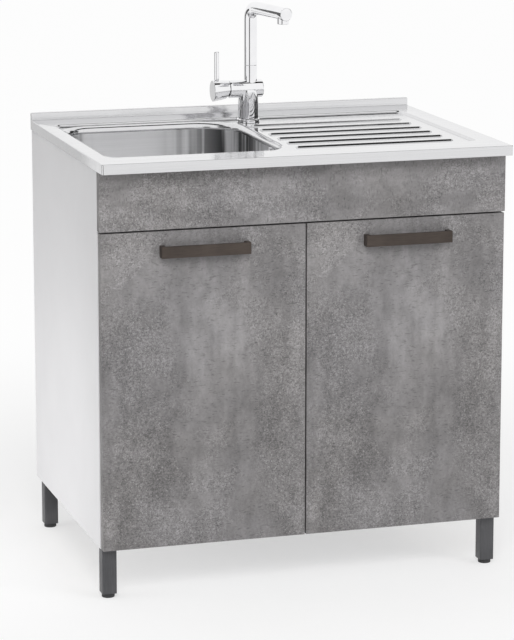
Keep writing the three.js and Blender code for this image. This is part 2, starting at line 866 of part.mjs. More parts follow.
function tapBody() {
  const column = rod("z", columnRadius, fieldTop + baseRingHeight + seat, barrelZ, tapX, tapY);
  const shank = rod("z", shankRadius, fieldTop - shankLength, barrelZ, tapX, tapY);
  const barrel = rod("x", barrelRadius, seamX, tapX + barrelRight, tapY, barrelZ);
  const stub = rod("z", riserRadius, barrelZ, stubTop, riserX, tapY);
  const socket = rod("z", spigotRadius + running, stubTop - spigotLength - 3, stubTop + 1, riserX, tapY);
  const bore = rod("x", boreRadius, seamX - 1, boreEnd, tapY, barrelZ);
  const inlets = [-1, 1].map((side) => {
    const low = fieldTop - shankLength;
    return rod("z", 4.5, low - 1, low + 14, tapX + side * 7, tapY, smallSides);
  });
  return cut(join(column, shank, barrel, stub), socket, bore, ...inlets);
}
piece("tap_body", "chrome", tapBody());

const underField = fieldTop - steel;
piece(
  "tap_fixing_washer",
  "rubber",
  turned(
    [
      [shankRadius + running, -seat],
      [shankRadius + running, -seat - 3],
      [baseRingRadius + 2, -seat - 3],
      [baseRingRadius + 2, -seat],
    ],
    tapX,
    tapY,
    underField,
    roundSides,
  ),
);

function tapNut() {
  const top = underField - 2 * seat - 3;
  const hexagon = rod("z", baseRingRadius + 1, top - 9, top, tapX, tapY, 6);
  return cut(hexagon, rod("z", shankRadius + running, top - 10, top + 1, tapX, tapY));
}
piece("tap_fixing_nut", "hinge_steel", tapNut());

// ---- Cartridge: fixed housing, turret that turns with the temperature, spindle that tilts ----

const pivotX = seamX + pivotInset;
const housingWall = 3;
const turretRadius = boreRadius - seat - housingWall - running;
const spindleHalf = 4;
const spindlePin = 1.5;

function cartridgeHousing() {
  const outer = rod("x", boreRadius - seat, seamX + 1.5, boreEnd - seat, tapY, barrelZ);
  const inner = rod("x", turretRadius + running, seamX, boreEnd - seat - 6, tapY, barrelZ);
  return cut(outer, inner);
}
piece("cartridge_housing", "grey_plastic", cartridgeHousing());

function cartridgeTurret() {
  const body = rod("x", turretRadius, seamX + 3, boreEnd - seat - 6 - running, tapY, barrelZ);
  const half = spindleHalf + running;
  const slot = box(seamX - 1, pivotX + 9, tapY - half, tapY + half, barrelZ - 20, barrelZ + 20);
  const pin = rod("y", spindlePin, tapY - half - 1, tapY + half + 1, pivotX, barrelZ, smallSides);
  return join(cut(body, slot), pin);
}
piece("cartridge_turret", "grey_plastic", cartridgeTurret());

const knobX = seamX - knobGap; // the knob's face towards the barrel
const socketDepth = 13;

function leverSpindle() {
  const [left, right] = [knobX - socketDepth + seat, pivotX + 5];
  const [y0, y1] = [tapY - spindleHalf, tapY + spindleHalf];
  const shaft = box(left, right, y0, y1, barrelZ - spindleHalf, barrelZ + spindleHalf);
  return cut(shaft, rod("y", spindlePin + 0.25, y0 - 1, y1 + 1, pivotX, barrelZ, smallSides));
}
piece("lever_spindle", "hinge_steel", leverSpindle());

// How wide the knob is and how low it hangs at a distance from its face.
const knobRadiusAt = (x) => barrelRadius + (knobFlare * x) / knobLength;
const knobDropAt = (x) => (knobDrop * x) / knobLength;

function knobRing(x, radius, sides = wideSides) {
  return Array.from({ length: sides }, (_, i) => {
    const angle = (i / sides) * 2 * Math.PI;
    const z = barrelZ - knobDropAt(x) + radius * Math.sin(angle);
    return [knobX - x, tapY + radius * Math.cos(angle), z];
  });
}

const rodX = knobLength - rodFromEnd; // lever rod, from the knob's face
const rodFoot = barrelZ - knobDropAt(rodX) + knobRadiusAt(rodX) + 2 * seat;

function leverKnob() {
  const body = loft([
    knobRing(0, barrelRadius),
    knobRing(knobLength - knobEdge, knobRadiusAt(knobLength)),
    knobRing(knobLength, knobRadiusAt(knobLength) - knobEdge),
  ]);
  const half = spindleHalf + seat;
  const [low, high] = [barrelZ - half, barrelZ + half];
  const socket = box(knobX - socketDepth, knobX + 1, tapY - half, tapY + half, low, high);
  // The underside is cut back, so that it clears the barrel when the lever tilts.
  const deep = barrelRadius + 8;
  const back = Math.tan(rad(leverTilt)) * deep + 0.4;
  const relief = prism(
    (outline) => {
      outline.moveTo(knobX - 0.4, 0);
      outline.lineTo(knobX - back, -deep);
      outline.lineTo(knobX + 5, -deep);
      outline.lineTo(knobX + 5, 0);
    },
    -30,
    30,
  );
  relief.rotateX(Math.PI / 2).translate(0, tapY, barrelZ);
  const holeEnd = rodFoot - seat - rodSpigot - 1;
  const hole = rod("z", rodRadius - 2 + seat, holeEnd, rodFoot + 1, knobX - rodX, tapY, smallSides);
  return cut(body, socket, solid(relief), hole);
}
piece("lever_knob", "chrome", leverKnob());

piece(
  "lever_rod",
  "chrome",
  turned(
    [
      [0, -rodSpigot],
      [rodRadius - 2, -rodSpigot],
      [rodRadius - 2, 0],
      [rodRadius, 0],
      [rodRadius, rodLength - 1.5],
      [rodRadius - 1.5, rodLength],
      [0, rodLength],
    ],
    knobX - rodX,
    tapY,
    rodFoot,
    roundSides,
  ),
);

// ---- Spout: swivelling riser, bend and arm, and the aerator under its end ----

const armWay = new THREE.Vector3(
  Math.sin(rad(spoutTurn)) * Math.cos(rad(spoutFall)),
  -Math.cos(rad(spoutTurn)) * Math.cos(rad(spoutFall)),
  -Math.sin(rad(spoutFall)),
);
const spoutCorner = new THREE.Vector3(riserX, tapY, fieldTop + riserHeight);
const outletPoint = spoutCorner.clone().addScaledVector(armWay, spoutReach - aeratorFromEnd);

// The spout's middle line from a height on the riser to a length along the arm.
function spoutPath(fromZ, armLength) {
  const up = new THREE.Vector3(0, 0, -1);
  const before = spoutCorner.clone().addScaledVector(up, spoutBend);
  const after = spoutCorner.clone().addScaledVector(armWay, spoutBend);
  const bend = new THREE.QuadraticBezierCurve3(before, spoutCorner, after);
  const foot = new THREE.Vector3(riserX, tapY, fromZ);
  return [foot, ...bend.getPoints(6), spoutCorner.clone().addScaledVector(armWay, armLength)];
}

function spout() {
  const foot = stubTop + running;
  const tube = bar(spoutPath(foot, spoutReach), riserRadius, roundSides);
  const spigot = rod("z", spigotRadius, stubTop - spigotLength, foot + 2, riserX, tapY);
  const way = bar(spoutPath(stubTop - spigotLength - 1, spoutReach - 5), spoutBore, smallSides);
  const { x, y, z } = outletPoint;
  const hole = rod("z", aeratorRadius - 2, z - riserRadius - 4, z, x, y);
  return cut(join(tube, spigot), way, hole);
}
piece("spout", "chrome", spout());

function aerator() {
  const { x, y, z } = outletPoint;
  const low = z - riserRadius - aeratorDrop;
  const collar = rod("z", aeratorRadius, low, z - 6, x, y);
  const neck = rod("z", aeratorRadius - 2 - seat, low, z - 1, x, y);
  const arm = bar(spoutPath(stubTop, spoutReach + 20), riserRadius + seat, roundSides);
  const bore = rod("z", aeratorRadius - 4, low - 1, z, x, y);
  return cut(join(cut(collar, arm), neck), bore);
}
piece("aerator", "chrome", aerator());

// ---- Cabinet boards ----

piece("left_side_panel", "white_board", box(-panelX, -innerX, panelFront, panelBack, legHeight, boardTop));
piece("right_side_panel", "white_board", box(innerX, panelX, panelFront, panelBack, legHeight, boardTop));

const railX = innerX - seat;
piece("bottom_panel", "white_board", box(-railX, railX, panelFront, panelBack, legHeight, legHeight + board));
piece(
  "front_rail",
  "white_board",
  box(-railX, railX, panelFront, panelFront + board, boardTop - frontRailHeight, boardTop),
);
piece(
  "rear_top_rail",
  "white_board",
  box(-railX, railX, panelBack - board, panelBack, boardTop - rearTopRailHeight, boardTop),
);
const lowRail = legHeight + board + seat;
piece(
  "rear_lower_rail",
  "white_board",
  box(-railX, railX, panelBack - board, panelBack, lowRail, lowRail + rearLowerRailHeight),
);
piece("fascia_panel", "concrete_board", box(-panelX, panelX, doorFront, doorBack, fasciaBottom, boardTop));

// ---- Doors, their hinges and handles ----

const doorEdge = panelX - doorReveal; // outer edge of a door, either side
const doorInner = doorGap / 2;
const hingeLevels = { lower: legHeight + hingeFromEnd, upper: doorTop - hingeFromEnd };

// Turns a shape in a hinge's own axes into its place: x from the panel's face, y from its front edge.
function atHinge(geometry, side, z) {
  geometry.translate(-panelX, panelFront, z);
  return solid(side < 0 ? geometry : geometry.scale(-1, 1, 1));
}

function mirrorX(side, a, b) {
  return side < 0 ? [-Math.max(a, b), -Math.min(a, b)] : [Math.min(a, b), Math.max(a, b)];
}

function door(side) {
  const [x0, x1] = mirrorX(side, doorInner, doorEdge);
  const slab = box(x0, x1, doorFront, doorBack, legHeight, doorTop);
  const bores = Object.values(hingeLevels).map((z) => {
    const x = side * (panelX - cupX);
    return rod("y", cupRadius, doorBack - cupDepth, doorBack + 1, x, z, wideSides);
  });
  return cut(slab, ...bores);
}

function handle(side) {
  const middle = side * ((doorEdge + doorInner) / 2);
  const [x0, x1] = [middle - handleLength / 2, middle + handleLength / 2];
  const back = doorFront - seat;
  const front = back - handleDepth;
  const low = doorTop - handleFromTop - handleHeight;
  const outer = prism((s) => roundRect(s, x0, x1, front, back, 2), low, low + handleHeight, handleEdge);
  const inner = prism(
    (s) => roundRect(s, x0 + handleFoot, x1 - handleFoot, front + handlePlate, back + 9, 2.5),
    low - 1,
    low + handleHeight + 1,
  );
  return cut(solid(outer), solid(inner));
}

// The cup sunk in the door, with two wings on the door's back and the pin that the arm turns on.
function hingeCup(side, z) {
  const doorPlane = -doorStandOff; // the door's back face, from the panel's front edge
  const outer = cupRadius - seat;
  const floor = doorPlane - cupDepth + seat;
  const wingTop = doorPlane + seat + cupWall;
  const cup = new THREE.CylinderGeometry(outer, outer, wingTop - floor, roundSides);
  cup.translate(cupX, (wingTop + floor) / 2, 0);
  const wings = prism(
    (s) => roundRect(s, cupX + 1, cupX + 1 + wingWidth, -wingLength / 2, wingLength / 2, 5),
    0,
    cupWall,
    0,
    1,
  );
  wings.rotateX(Math.PI / 2).translate(0, wingTop, 0);
  const hollow = new THREE.CylinderGeometry(outer - cupWall, outer - cupWall, cupDepth + 2, roundSides);
  hollow.translate(cupX, floor + cupWall + (cupDepth + 2) / 2, 0);
  const notchDepth = 16;
  const notch = new THREE.BoxGeometry(notchDepth, notchDepth, armWidth + 5);
  notch.translate(pinX + eyeRadius + 0.5 - notchDepth / 2, pinY - eyeRadius - 0.5 + notchDepth / 2, 0);
  const pin = new THREE.CylinderGeometry(pinRadius, pinRadius, pinLength, pinSides);
  pin.rotateX(Math.PI / 2).translate(pinX, pinY, 0);
  const shell = cut(join(atHinge(cup, side, z), atHinge(wings, side, z)), atHinge(hollow, side, z));
  const open = cut(shell, atHinge(notch, side, z));
  return join(open, atHinge(pin, side, z));
}

// The arm: an eye round the pin, a gooseneck out of the cup, and a channel over the mounting plate.
function hingeArm(side, z) {
  const neck = prism(
    (s) => {
      const low = pinY - armDip - armSheet;
      s.moveTo(pinX, low);
      s.lineTo(pinX + armNeckReach - 2, low);
      s.absarc(pinX + armNeckReach - 2, low + 2, 2, -Math.PI / 2, 0, false);
      s.lineTo(pinX + armNeckReach, channelStart + 4);
      s.lineTo(pinX + armNeckReach - armSheet, channelStart + 4);
      s.lineTo(pinX + armNeckReach - armSheet, low + armSheet);
      s.lineTo(pinX, low + armSheet);
    },
    -armWidth / 2,
    armWidth / 2,
  );
  const eye = new THREE.CylinderGeometry(eyeRadius, eyeRadius, armWidth, smallSides);
  eye.rotateX(Math.PI / 2).translate(pinX, pinY, 0);
  const eyeBore = new THREE.CylinderGeometry(pinRadius + 0.2, pinRadius + 0.2, armWidth + 2, pinSides);
  eyeBore.rotateX(Math.PI / 2).translate(pinX, pinY, 0);
  const x0 = pinX + armNeckReach - armSheet;
  const channel = prism(
    (s) => roundRect(s, x0, x0 + channelHeight, channelStart, channelEnd, 3),
    -channelWidth / 2,
    channelWidth / 2,
  );
  const trough = new THREE.BoxGeometry(channelHeight, channelEnd, channelWidth - 2 * armSheet);
  trough.translate(x0 + channelHeight / 2 - armSheet, channelStart + armSheet + channelEnd / 2, 0);
  const bent = join(atHinge(neck, side, z), atHinge(eye, side, z));
  const rear = cut(atHinge(channel, side, z), atHinge(trough, side, z));
  // The mounting plate stands in the open side of the channel.
  const plateRoom = new THREE.BoxGeometry(2 * (plateThickness + 2 * seat), channelEnd, plateLength);
  plateRoom.translate(board, channelStart + armSheet + 1 + channelEnd / 2, 0);
  return cut(join(bent, cut(rear, atHinge(plateRoom, side, z))), atHinge(eyeBore, side, z));
}

// The cross-shaped plate screwed to the side panel, with the block that the arm is screwed down on.
function hingePlate(side, z) {
  const middle = (channelStart + channelEnd) / 2 + 2;
  const [across, up] = [plateWidth / 2, plateLength / 2];
  const half = channelWidth / 2 + 2;
  const upright = prism((s) => roundRect(s, middle - across, middle + across, -up, up, 6), 0, plateThickness, 0, 1);
  const tongue = prism((s) => roundRect(s, channelStart + 6, channelEnd, -half, half, 3), 0, plateThickness, 0, 1);
  const stand = channelWidth / 2 - armSheet - seat;
  const top = armNeckReach + pinX - armSheet + channelHeight - armSheet - board - seat;
  const block = prism((s) => roundRect(s, middle - 12, middle + 12, -stand, stand, 1), 0, top - seat, 0, 1);
  const parts = [upright, tongue, block].map((shape) => {
    // The outlines are drawn as depth into the cabinet and height, then stood on the panel's inner face.
    const basis = new THREE.Matrix4().makeBasis(
      new THREE.Vector3(0, 1, 0),
      new THREE.Vector3(0, 0, 1),
      new THREE.Vector3(1, 0, 0),
    );
    return atHinge(shape.applyMatrix4(basis).translate(board + seat, 0, 0), side, z);
  });
  return join(...parts);
}

for (const [word, side] of [
  ["left", -1],
  ["right", 1],
]) {
  piece(`${word}_door_panel`, "concrete_board", door(side));
  piece(`${word}_handle`, "handle_bronze", handle(side));
  for (const [level, z] of Object.entries(hingeLevels)) {
    piece(`${word}_${level}_hinge_cup`, "hinge_steel", hingeCup(side, z));
    piece(`${word}_${level}_hinge_arm`, "hinge_steel", hingeArm(side, z));
    piece(`${word}_${level}_hinge_plate`, "hinge_steel", hingePlate(side, z));
  }
}

// ---- Legs and adjustable feet ----

const legX = panelX - legInset - legSize / 2;
const legYs = {
  front: doorBack + legFromDoor + legSize / 2,
  rear: panelBack - legFromBack - legSize / 2,
};

function leg(x, y) {
  const half = legSize / 2;
  const top = legHeight - seat;
  const post = prism((s) => roundRect(s, x - half, x + half, y - half, y + half, legCorner), footHeight, top);
  const inner = half - legWall;
  const hollow = box(x - inner, x + inner, y - inner, y + inner, footHeight + 6, top - 4);
  const stemBore = rod("z", footStemRadius + running, footHeight - 1, top / 2, x, y, smallSides);
  return cut(solid(post), hollow, stemBore);
}

function foot(x, y) {
  const top = footHeight - seat;
  return turned(
    [
      [0, 0],
      [footRadius, 0],
      [footRadius, top],
      [footStemRadius, top],
      [footStemRadius, top + footStemLength],
      [0, top + footStemLength],
    ],
    x,
    y,
    0,
    roundSides,
  );
}

for (const [word, side] of [
  ["left", -1],
  ["right", 1],
]) {
  for (const [end, y] of Object.entries(legYs)) {
    piece(`${end}_${word}_leg`, "leg_grey", leg(side * legX, y));
    piece(`${end}_${word}_foot`, "foot_black", foot(side * legX, y));
  }
}

// ---- Clips that hold the sink down to the side panels ----

function sinkClip(side, y) {
  const [y0, y1] = [y - clipWidth / 2, y + clipWidth / 2];
  const face = innerX - seat;
  const underDeck = side < 0 ? fieldTop - steel : deckTop - steel;
  const top = underDeck - seat;
  const [a, b] = mirrorX(side, face - clipSheet, face);
  const [c, d] = mirrorX(side, face - clipReach, face);
  const upright = box(a, b, y0, y1, top - clipLength, top);
  const hook = box(c, d, y0, y1, top - clipSheet, top);
  const hole = rod("x", 2.2, a - 1, b + 1, y, top - clipLength + 12, smallSides);
  return cut(join(upright, hook), hole);
}

for (const [word, side] of [
  ["left", -1],
  ["right", 1],
]) {
  piece(`front_${word}_sink_clip`, "hinge_steel", sinkClip(side, panelFront + clipFromFront));
  piece(`rear_${word}_sink_clip`, "hinge_steel", sinkClip(side, panelBack - clipFromBack));
}

export default unit;
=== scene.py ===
"""Kitchen sink unit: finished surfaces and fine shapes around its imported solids.

Shapes are written in millimetres and made in metres. +X is to the right, +Y to the back, +Z up.
"""

import math

import bmesh
import bpy
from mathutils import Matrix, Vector
from mathutils.geometry import delaunay_2d_cdt


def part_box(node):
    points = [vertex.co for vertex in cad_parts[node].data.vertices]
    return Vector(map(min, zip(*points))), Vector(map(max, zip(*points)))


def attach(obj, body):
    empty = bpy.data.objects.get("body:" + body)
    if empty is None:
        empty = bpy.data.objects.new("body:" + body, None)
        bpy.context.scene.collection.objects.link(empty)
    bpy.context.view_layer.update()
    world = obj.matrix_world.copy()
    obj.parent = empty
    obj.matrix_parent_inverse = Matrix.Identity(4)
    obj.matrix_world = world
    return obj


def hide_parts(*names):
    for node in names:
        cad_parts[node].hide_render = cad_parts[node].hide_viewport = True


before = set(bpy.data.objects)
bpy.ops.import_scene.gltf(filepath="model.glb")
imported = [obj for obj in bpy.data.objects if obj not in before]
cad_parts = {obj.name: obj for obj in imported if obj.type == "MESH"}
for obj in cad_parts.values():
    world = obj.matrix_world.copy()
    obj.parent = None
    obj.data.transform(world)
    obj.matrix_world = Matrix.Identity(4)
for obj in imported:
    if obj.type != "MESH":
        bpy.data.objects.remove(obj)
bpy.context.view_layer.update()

MM = 0.001
SHARP_BEND = 30  # degrees between two faces, above which their edge is shaded sharp


def span(node):
    """The lowest and highest corners of a solid, in millimetres."""
    low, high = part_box(node)
    return low / MM, high / MM


# ---- Sizes in millimetres, as in the solids where they are not read from them ----

SHEET = 1.0
RIM_ROUND = 2.0
RIM_CORNER = 4.0
UPSTAND_RISE = 15.0
UPSTAND_DEPTH = 12.0
UPSTAND_BEND = 0.7
FIELD_DEPTH = 4.0
FIELD_INSETS = {"left": 29.0, "right": 42.0, "front": 77.0, "rear": 84.0}
FIELD_CORNER = 16.0
FIELD_STEP = (1.2, -3.0)  # where the step down starts and ends, outwards from the field's line
BOWL_EDGE = 11.0
BOWL_COLLAR = 2.0
BOWL_CORNERS = (50.0, 85.0, 85.0, 50.0)
BOWL_UPRIGHT = 44.0
BOWL_DRAFT = 9.0
BOWL_FLOOR_ROUND = 36.0
BOWL_FALL = 4.0
DRAIN_FLAT = 60.0
DRAIN_HOLE = 44.0
RIB_COUNT = 6
RIB_HEIGHT = 3.4
RIB_HALF = 7.5
RIB_FOOT = 0.9  # width of the bend at a rib's foot, and of the one at its top
RIB_SLOPE = 38.0
RIB_SPAN = (5.0, 324.5)
RIB_LINES = (-180.0, 111.5)
TAP = Vector((18.5, 172.0, 0.0))
TAP_HOLE = 17.5
BARREL_AXIS = 898.5

rim_low, rim_high = span("sink_deck")
RIM = (rim_low.x, rim_high.x, rim_low.y, rim_high.y)
DECK = rim_high.z - UPSTAND_RISE
FIELD = DECK - FIELD_DEPTH
bowl_low, bowl_high = span("sink_bowl")
BOWL = (bowl_low.x + SHEET, bowl_high.x - SHEET, bowl_low.y + SHEET, bowl_high.y - SHEET)
BOWL_MIDDLE = Vector(((BOWL[0] + BOWL[1]) / 2, (BOWL[2] + BOWL[3]) / 2, 0))
BOWL_FLOOR = bowl_low.z + SHEET


# ---- Skins: points and faces gathered in millimetres ----


class Skin:
    """Points and faces of one piece, in millimetres."""

    def __init__(self):
        self.points = []
        self.faces = []

    def loop(self, points):
        start = len(self.points)
        self.points.extend(points)
        return list(range(start, start + len(points)))

    def face(self, corners):
        self.faces.append(tuple(corners))

    def strip(self, first, second):
        """Quads between two closed loops of as many points."""
        for i in range(len(first)):
            j = (i + 1) % len(first)
            self.face((first[i], first[j], second[j], second[i]))

    def stack(self, loops):
        """Strips through a list of loops of points. Returns the first and last loop."""
        made = [self.loop(points) for points in loops]
        for first, second in zip(made, made[1:]):
            self.strip(first, second)
        return made[0], made[-1]

    def flat(self, outer, holes):
        """A level sheet inside one loop and outside others."""
        loops = [outer, *holes]
        numbers = [n for loop in loops for n in loop]
        place = {n: i for i, n in enumerate(numbers)}
        flat_points = [Vector(self.points[n][:2]) for n in numbers]
        edges = []
        for loop in loops:
            edges += [(place[a], place[b]) for a, b in zip(loop, loop[1:] + loop[:1])]
        found = delaunay_2d_cdt(flat_points, edges, [], 0, 1e-5)
        points, faces, origins = found[0], found[2], found[3]
        border, *gaps = [[self.points[n][:2] for n in loop] for loop in loops]
        for face in faces:
            middle = sum((points[i] for i in face), Vector((0, 0))) / len(face)
            if inside(middle, border) and not any(inside(middle, gap) for gap in gaps):
                self.face([numbers[origins[i][0]] for i in face])

    def mesh(self, name):
        mesh = bpy.data.meshes.new(name)
        mesh.from_pydata([Vector(p) * MM for p in self.points], [], self.faces)
        return mesh


def inside(point, border):
    """Whether a point lies inside a closed border."""
    odd = False
    for (x0, y0), (x1, y1) in zip(border, border[1:] + border[:1]):
        if (y0 > point.y) != (y1 > point.y):
            odd ^= point.x < x0 + (point.y - y0) * (x1 - x0) / (y1 - y0)
    return odd


def outline(area, grow, z, steps, radii):
    """A level loop round a rectangle with four corner radii, front left first, seen from above."""
    x0, x1, y0, y1 = area[0] - grow, area[1] + grow, area[2] - grow, area[3] + grow
    corners = ((x0, y0, 1, 1), (x1, y0, -1, 1), (x1, y1, -1, -1), (x0, y1, 1, -1))
    loop = []
    for number, (x, y, along, across) in enumerate(corners):
        r = max(radii[number] + grow, 0.02)
        for step in range(steps + 1):
            turn = math.pi + (number + step / steps) * math.pi / 2
            point = (x + along * r + r * math.cos(turn), y + across * r + r * math.sin(turn), z)
            if not loop or (Vector(point) - Vector(loop[-1])).length > 1e-4:
                loop.append(point)
    if (Vector(loop[0]) - Vector(loop[-1])).length < 1e-4:
        loop.pop()
    return loop


def outlines(area, levels, steps, radii):
    """One rectangle's loops at several levels, each given as how far it grows and its height."""
    return [outline(area, grow, z, steps, radii) for grow, z in levels]


def circle(x, y, radius, z, steps):
    """A level circle that starts at the left."""
    turns = [math.pi + 2 * math.pi * i / steps for i in range(steps)]
    return [(x + radius * math.cos(a), y + radius * math.sin(a), z) for a in turns]


def arc(radius, sweep, steps):
    """The cosines and sines of an arc from 0 to a sweep in degrees, times its radius."""
    turns = [math.radians(sweep) * k / steps for k in range(steps + 1)]
    return [(radius * math.cos(a), radius * math.sin(a)) for a in turns]


def ease(t):
    """A smooth step from 0 to 1."""
    return t * t * (3 - 2 * t)


def revolved(profile, centre, axis="z", steps=64, closed=True):
    """A skin turned about X or Z through a centre. The profile is a list of (radius, distance)."""
    skin = Skin()
    across, up, ahead = {"x": (1, 2, 0), "z": (0, 1, 2)}[axis]
    loops = []
    for radius, along in profile:
        loop = []
        for i in range(1 if radius < 1e-6 else steps):
            angle = 2 * math.pi * i / steps
            point = list(centre)
            point[across] += radius * math.cos(angle)
            point[up] += radius * math.sin(angle)
            point[ahead] += along
            loop.append(tuple(point))
        loops.append(skin.loop(loop))
    pairs = list(zip(loops, loops[1:]))
    if closed and len(loops[0]) > 1:
        pairs.append((loops[-1], loops[0]))
    for first, second in pairs:
        if len(first) == 1 and len(second) == 1:
            continue
        if len(first) == 1 or len(second) == 1:
            tip, edge = (first, second) if len(first) == 1 else (second, first)
            for i in range(len(edge)):
                corners = (tip[0], edge[i], edge[(i + 1) % len(edge)])
                skin.face(corners if tip is first else corners[::-1])
        else:
            skin.strip(first, second)
    return skin


def rounded(profile, corners, steps=4):
    """A profile whose chosen corners are rounded: corners gives a radius for each corner's number."""
    out = []
    for i, point in enumerate(profile):
        radius = corners.get(i)
        if not radius:
            out.append(tuple(point))
            continue
        here = Vector(point)
        before = Vector(profile[i - 1])
        after = Vector(profile[(i + 1) % len(profile)])
        start = here + (before - here).normalized() * radius
        end = here + (after - here).normalized() * radius
        for step in range(steps + 1):
            t = step / steps
            spot = start.lerp(here, t).lerp(here.lerp(end, t), t)
            out.append((max(spot.x, 0.0), spot.y))
    return out


def ringed(profile, pitch):
    """A profile with more points on its long runs along the axis."""
    out = [profile[0]]
    for (r0, a0), (r1, a1) in zip(profile, profile[1:]):
        parts = max(1, int(math.hypot(r1 - r0, a1 - a0) / pitch)) if r0 > 0 and r1 > 0 else 1
        out += [(r0 + (r1 - r0) * k / parts, a0 + (a1 - a0) * k / parts) for k in range(1, parts + 1)]
    return out


def swept(path, radius, steps, name="part"):
    """A solid round bar along a list of points. radius may be a list, one for each point."""
    radii = radius if isinstance(radius, list) else [radius] * len(path)
    side = (path[1] - path[0]).normalized().orthogonal().normalized()
    loops = []
    for k, point in enumerate(path):
        along = (path[min(k + 1, len(path) - 1)] - path[max(k - 1, 0)]).normalized()
        side = (side - along * side.dot(along)).normalized()
        other = along.cross(side)
        loop = []
        for i in range(steps):
            angle = 2 * math.pi * i / steps
            loop.append(tuple(point + (side * math.cos(angle) + other * math.sin(angle)) * radii[k]))
        loops.append(loop)
    return capped(loops, name)


# ---- Pieces ----


def piece_from(mesh, name):
    piece = bpy.data.objects.new(name, mesh)
    bpy.context.scene.collection.objects.link(piece)
    return piece


def tidy_mesh(mesh):
    """Merges doubled points and turns the faces outwards."""
    work = bmesh.new()
    work.from_mesh(mesh)
    bmesh.ops.remove_doubles(work, verts=work.verts, dist=1e-6)
    bmesh.ops.dissolve_degenerate(work, edges=work.edges, dist=1e-7)
    bmesh.ops.recalc_face_normals(work, faces=work.faces)
    work.to_mesh(mesh)
    work.free()
    mesh.update()


def baked(piece):
    """The piece with its modifiers applied."""
    bpy.context.view_layer.update()
    seen = piece.evaluated_get(bpy.context.evaluated_depsgraph_get())
    mesh = bpy.data.meshes.new_from_object(seen)
    piece.modifiers.clear()
    piece.data = mesh
    return piece


def combine(first, others, operation):
    """Joins other closed pieces to the first, or cuts them from it, and removes them."""
    for other in others:
        step = first.modifiers.new("cut", "BOOLEAN")
        step.operation = operation
        step.solver = "MANIFOLD"
        step.object = other
    baked(first)
    for other in others:
        bpy.data.objects.remove(other)
    return first


def solid(skin, name="part"):
    mesh = skin.mesh(name)
    tidy_mesh(mesh)
    return piece_from(mesh, name)


def pressed(skin, name, outward):
    """A sheet from a skin: its thickness lies inside the skin, or outside it where outward is set."""
    piece = solid(skin, name)
    sheet = piece.modifiers.new("sheet", "SOLIDIFY")
    sheet.thickness = SHEET * MM
    sheet.offset = 1 if outward else -1
    sheet.use_even_offset = True
    return baked(piece)


def finish(piece, body, materials, nodes=()):
    """Gives a piece its materials, its body and the solids that it stands for."""
    faces = piece.data.polygons
    picked = [0] * len(faces)
    faces.foreach_get("material_index", picked)
    piece.data.materials.clear()  # this also sets every face back to the first material
    for material in materials:
        piece.data.materials.append(material)
    faces.foreach_set("material_index", [min(i, len(materials) - 1) for i in picked])
    piece.data.shade_smooth()
    piece.data.set_sharp_from_angle(angle=math.radians(SHARP_BEND))
    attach(piece, body)
    if nodes:
        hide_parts(*nodes)
    return piece


def soften(piece, width, degrees):
    """Rounds the edges whose faces meet at more than an angle."""
    edge = piece.modifiers.new("soft_edges", "BEVEL")
    edge.width = width * MM
    edge.segments = 3
    edge.limit_method = "ANGLE"
    edge.angle_limit = math.radians(degrees)
    edge.harden_normals = True
    return piece


def refined(node, edge, degrees=40):
    """A merged copy of a solid whose edges are rounded."""
    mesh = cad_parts[node].data.copy()
    mesh.name = node + "_fine"
    mesh.materials.clear()
    work = bmesh.new()
    work.from_mesh(mesh)
    bmesh.ops.remove_doubles(work, verts=work.verts, dist=2e-6)
    flat = math.radians(0.6)
    bmesh.ops.dissolve_limit(work, angle_limit=flat, verts=work.verts, edges=work.edges)
    work.to_mesh(mesh)
    work.free()
    for name in [a.name for a in mesh.attributes if a.name.startswith("custom_normal")]:
        mesh.attributes.remove(mesh.attributes[name])
    return soften(piece_from(mesh, node + "_fine"), edge, degrees)


# ---- Shader helpers ----


def add(tree, kind, inputs=None, **settings):
    """A new node, with its settings, and its inputs given a value or linked to a socket."""
    node = tree.nodes.new(kind)
    for name, value in settings.items():
        setattr(node, name, value)
    for key, value in (inputs or {}).items():
        if isinstance(value, bpy.types.NodeSocket):
            tree.links.new(value, node.inputs[key])
        else:
            node.inputs[key].default_value = value
    return node


def sums(tree, operation, first, second=0.0, third=0.0):
    values = {0: first, 1: second, 2: third}
    return add(tree, "ShaderNodeMath", values, operation=operation).outputs[0]


def times(tree, first, second):
    return sums(tree, "MULTIPLY", first, second)


def weighed(tree, parts, start=0.0):
    """A start value, and each part times its weight on top of it."""
    for value, weight in parts:
        start = sums(tree, "MULTIPLY_ADD", value, weight, start)
    return start


def ranged(tree, value, low, high, to_low=0.0, to_high=1.0):
    limits = {"Value": value, "From Min": low, "From Max": high, "To Min": to_low, "To Max": to_high}
    return add(tree, "ShaderNodeMapRange", limits).outputs["Result"]


def places(tree, operation, first, second):
    """Arithmetic on places."""
    return add(tree, "ShaderNodeVectorMath", {0: first, 1: second}, operation=operation).outputs[0]


def scaled(tree, vector, by):
    return places(tree, "MULTIPLY", vector, by)


def moved(tree, vector, by, turn=0.0):
    """A place turned about Y and then moved."""
    inputs = {"Vector": vector, "Location": by, "Rotation": (0, turn, 0)}
    return add(tree, "ShaderNodeMapping", inputs).outputs[0]


def noise(tree, vector, scale, detail, roughness, distortion=0.0):
    inputs = {"Vector": vector, "Scale": scale, "Detail": detail}
    inputs.update({"Roughness": roughness, "Distortion": distortion})
    return add(tree, "ShaderNodeTexNoise", inputs).outputs[0]


def mixed(tree, share, first, second, blend="MIX"):
    """A blend of two colours."""
    inputs = {0: share, 6: first, 7: second}
    return add(tree, "ShaderNodeMix", inputs, data_type="RGBA", blend_type=blend).outputs[2]


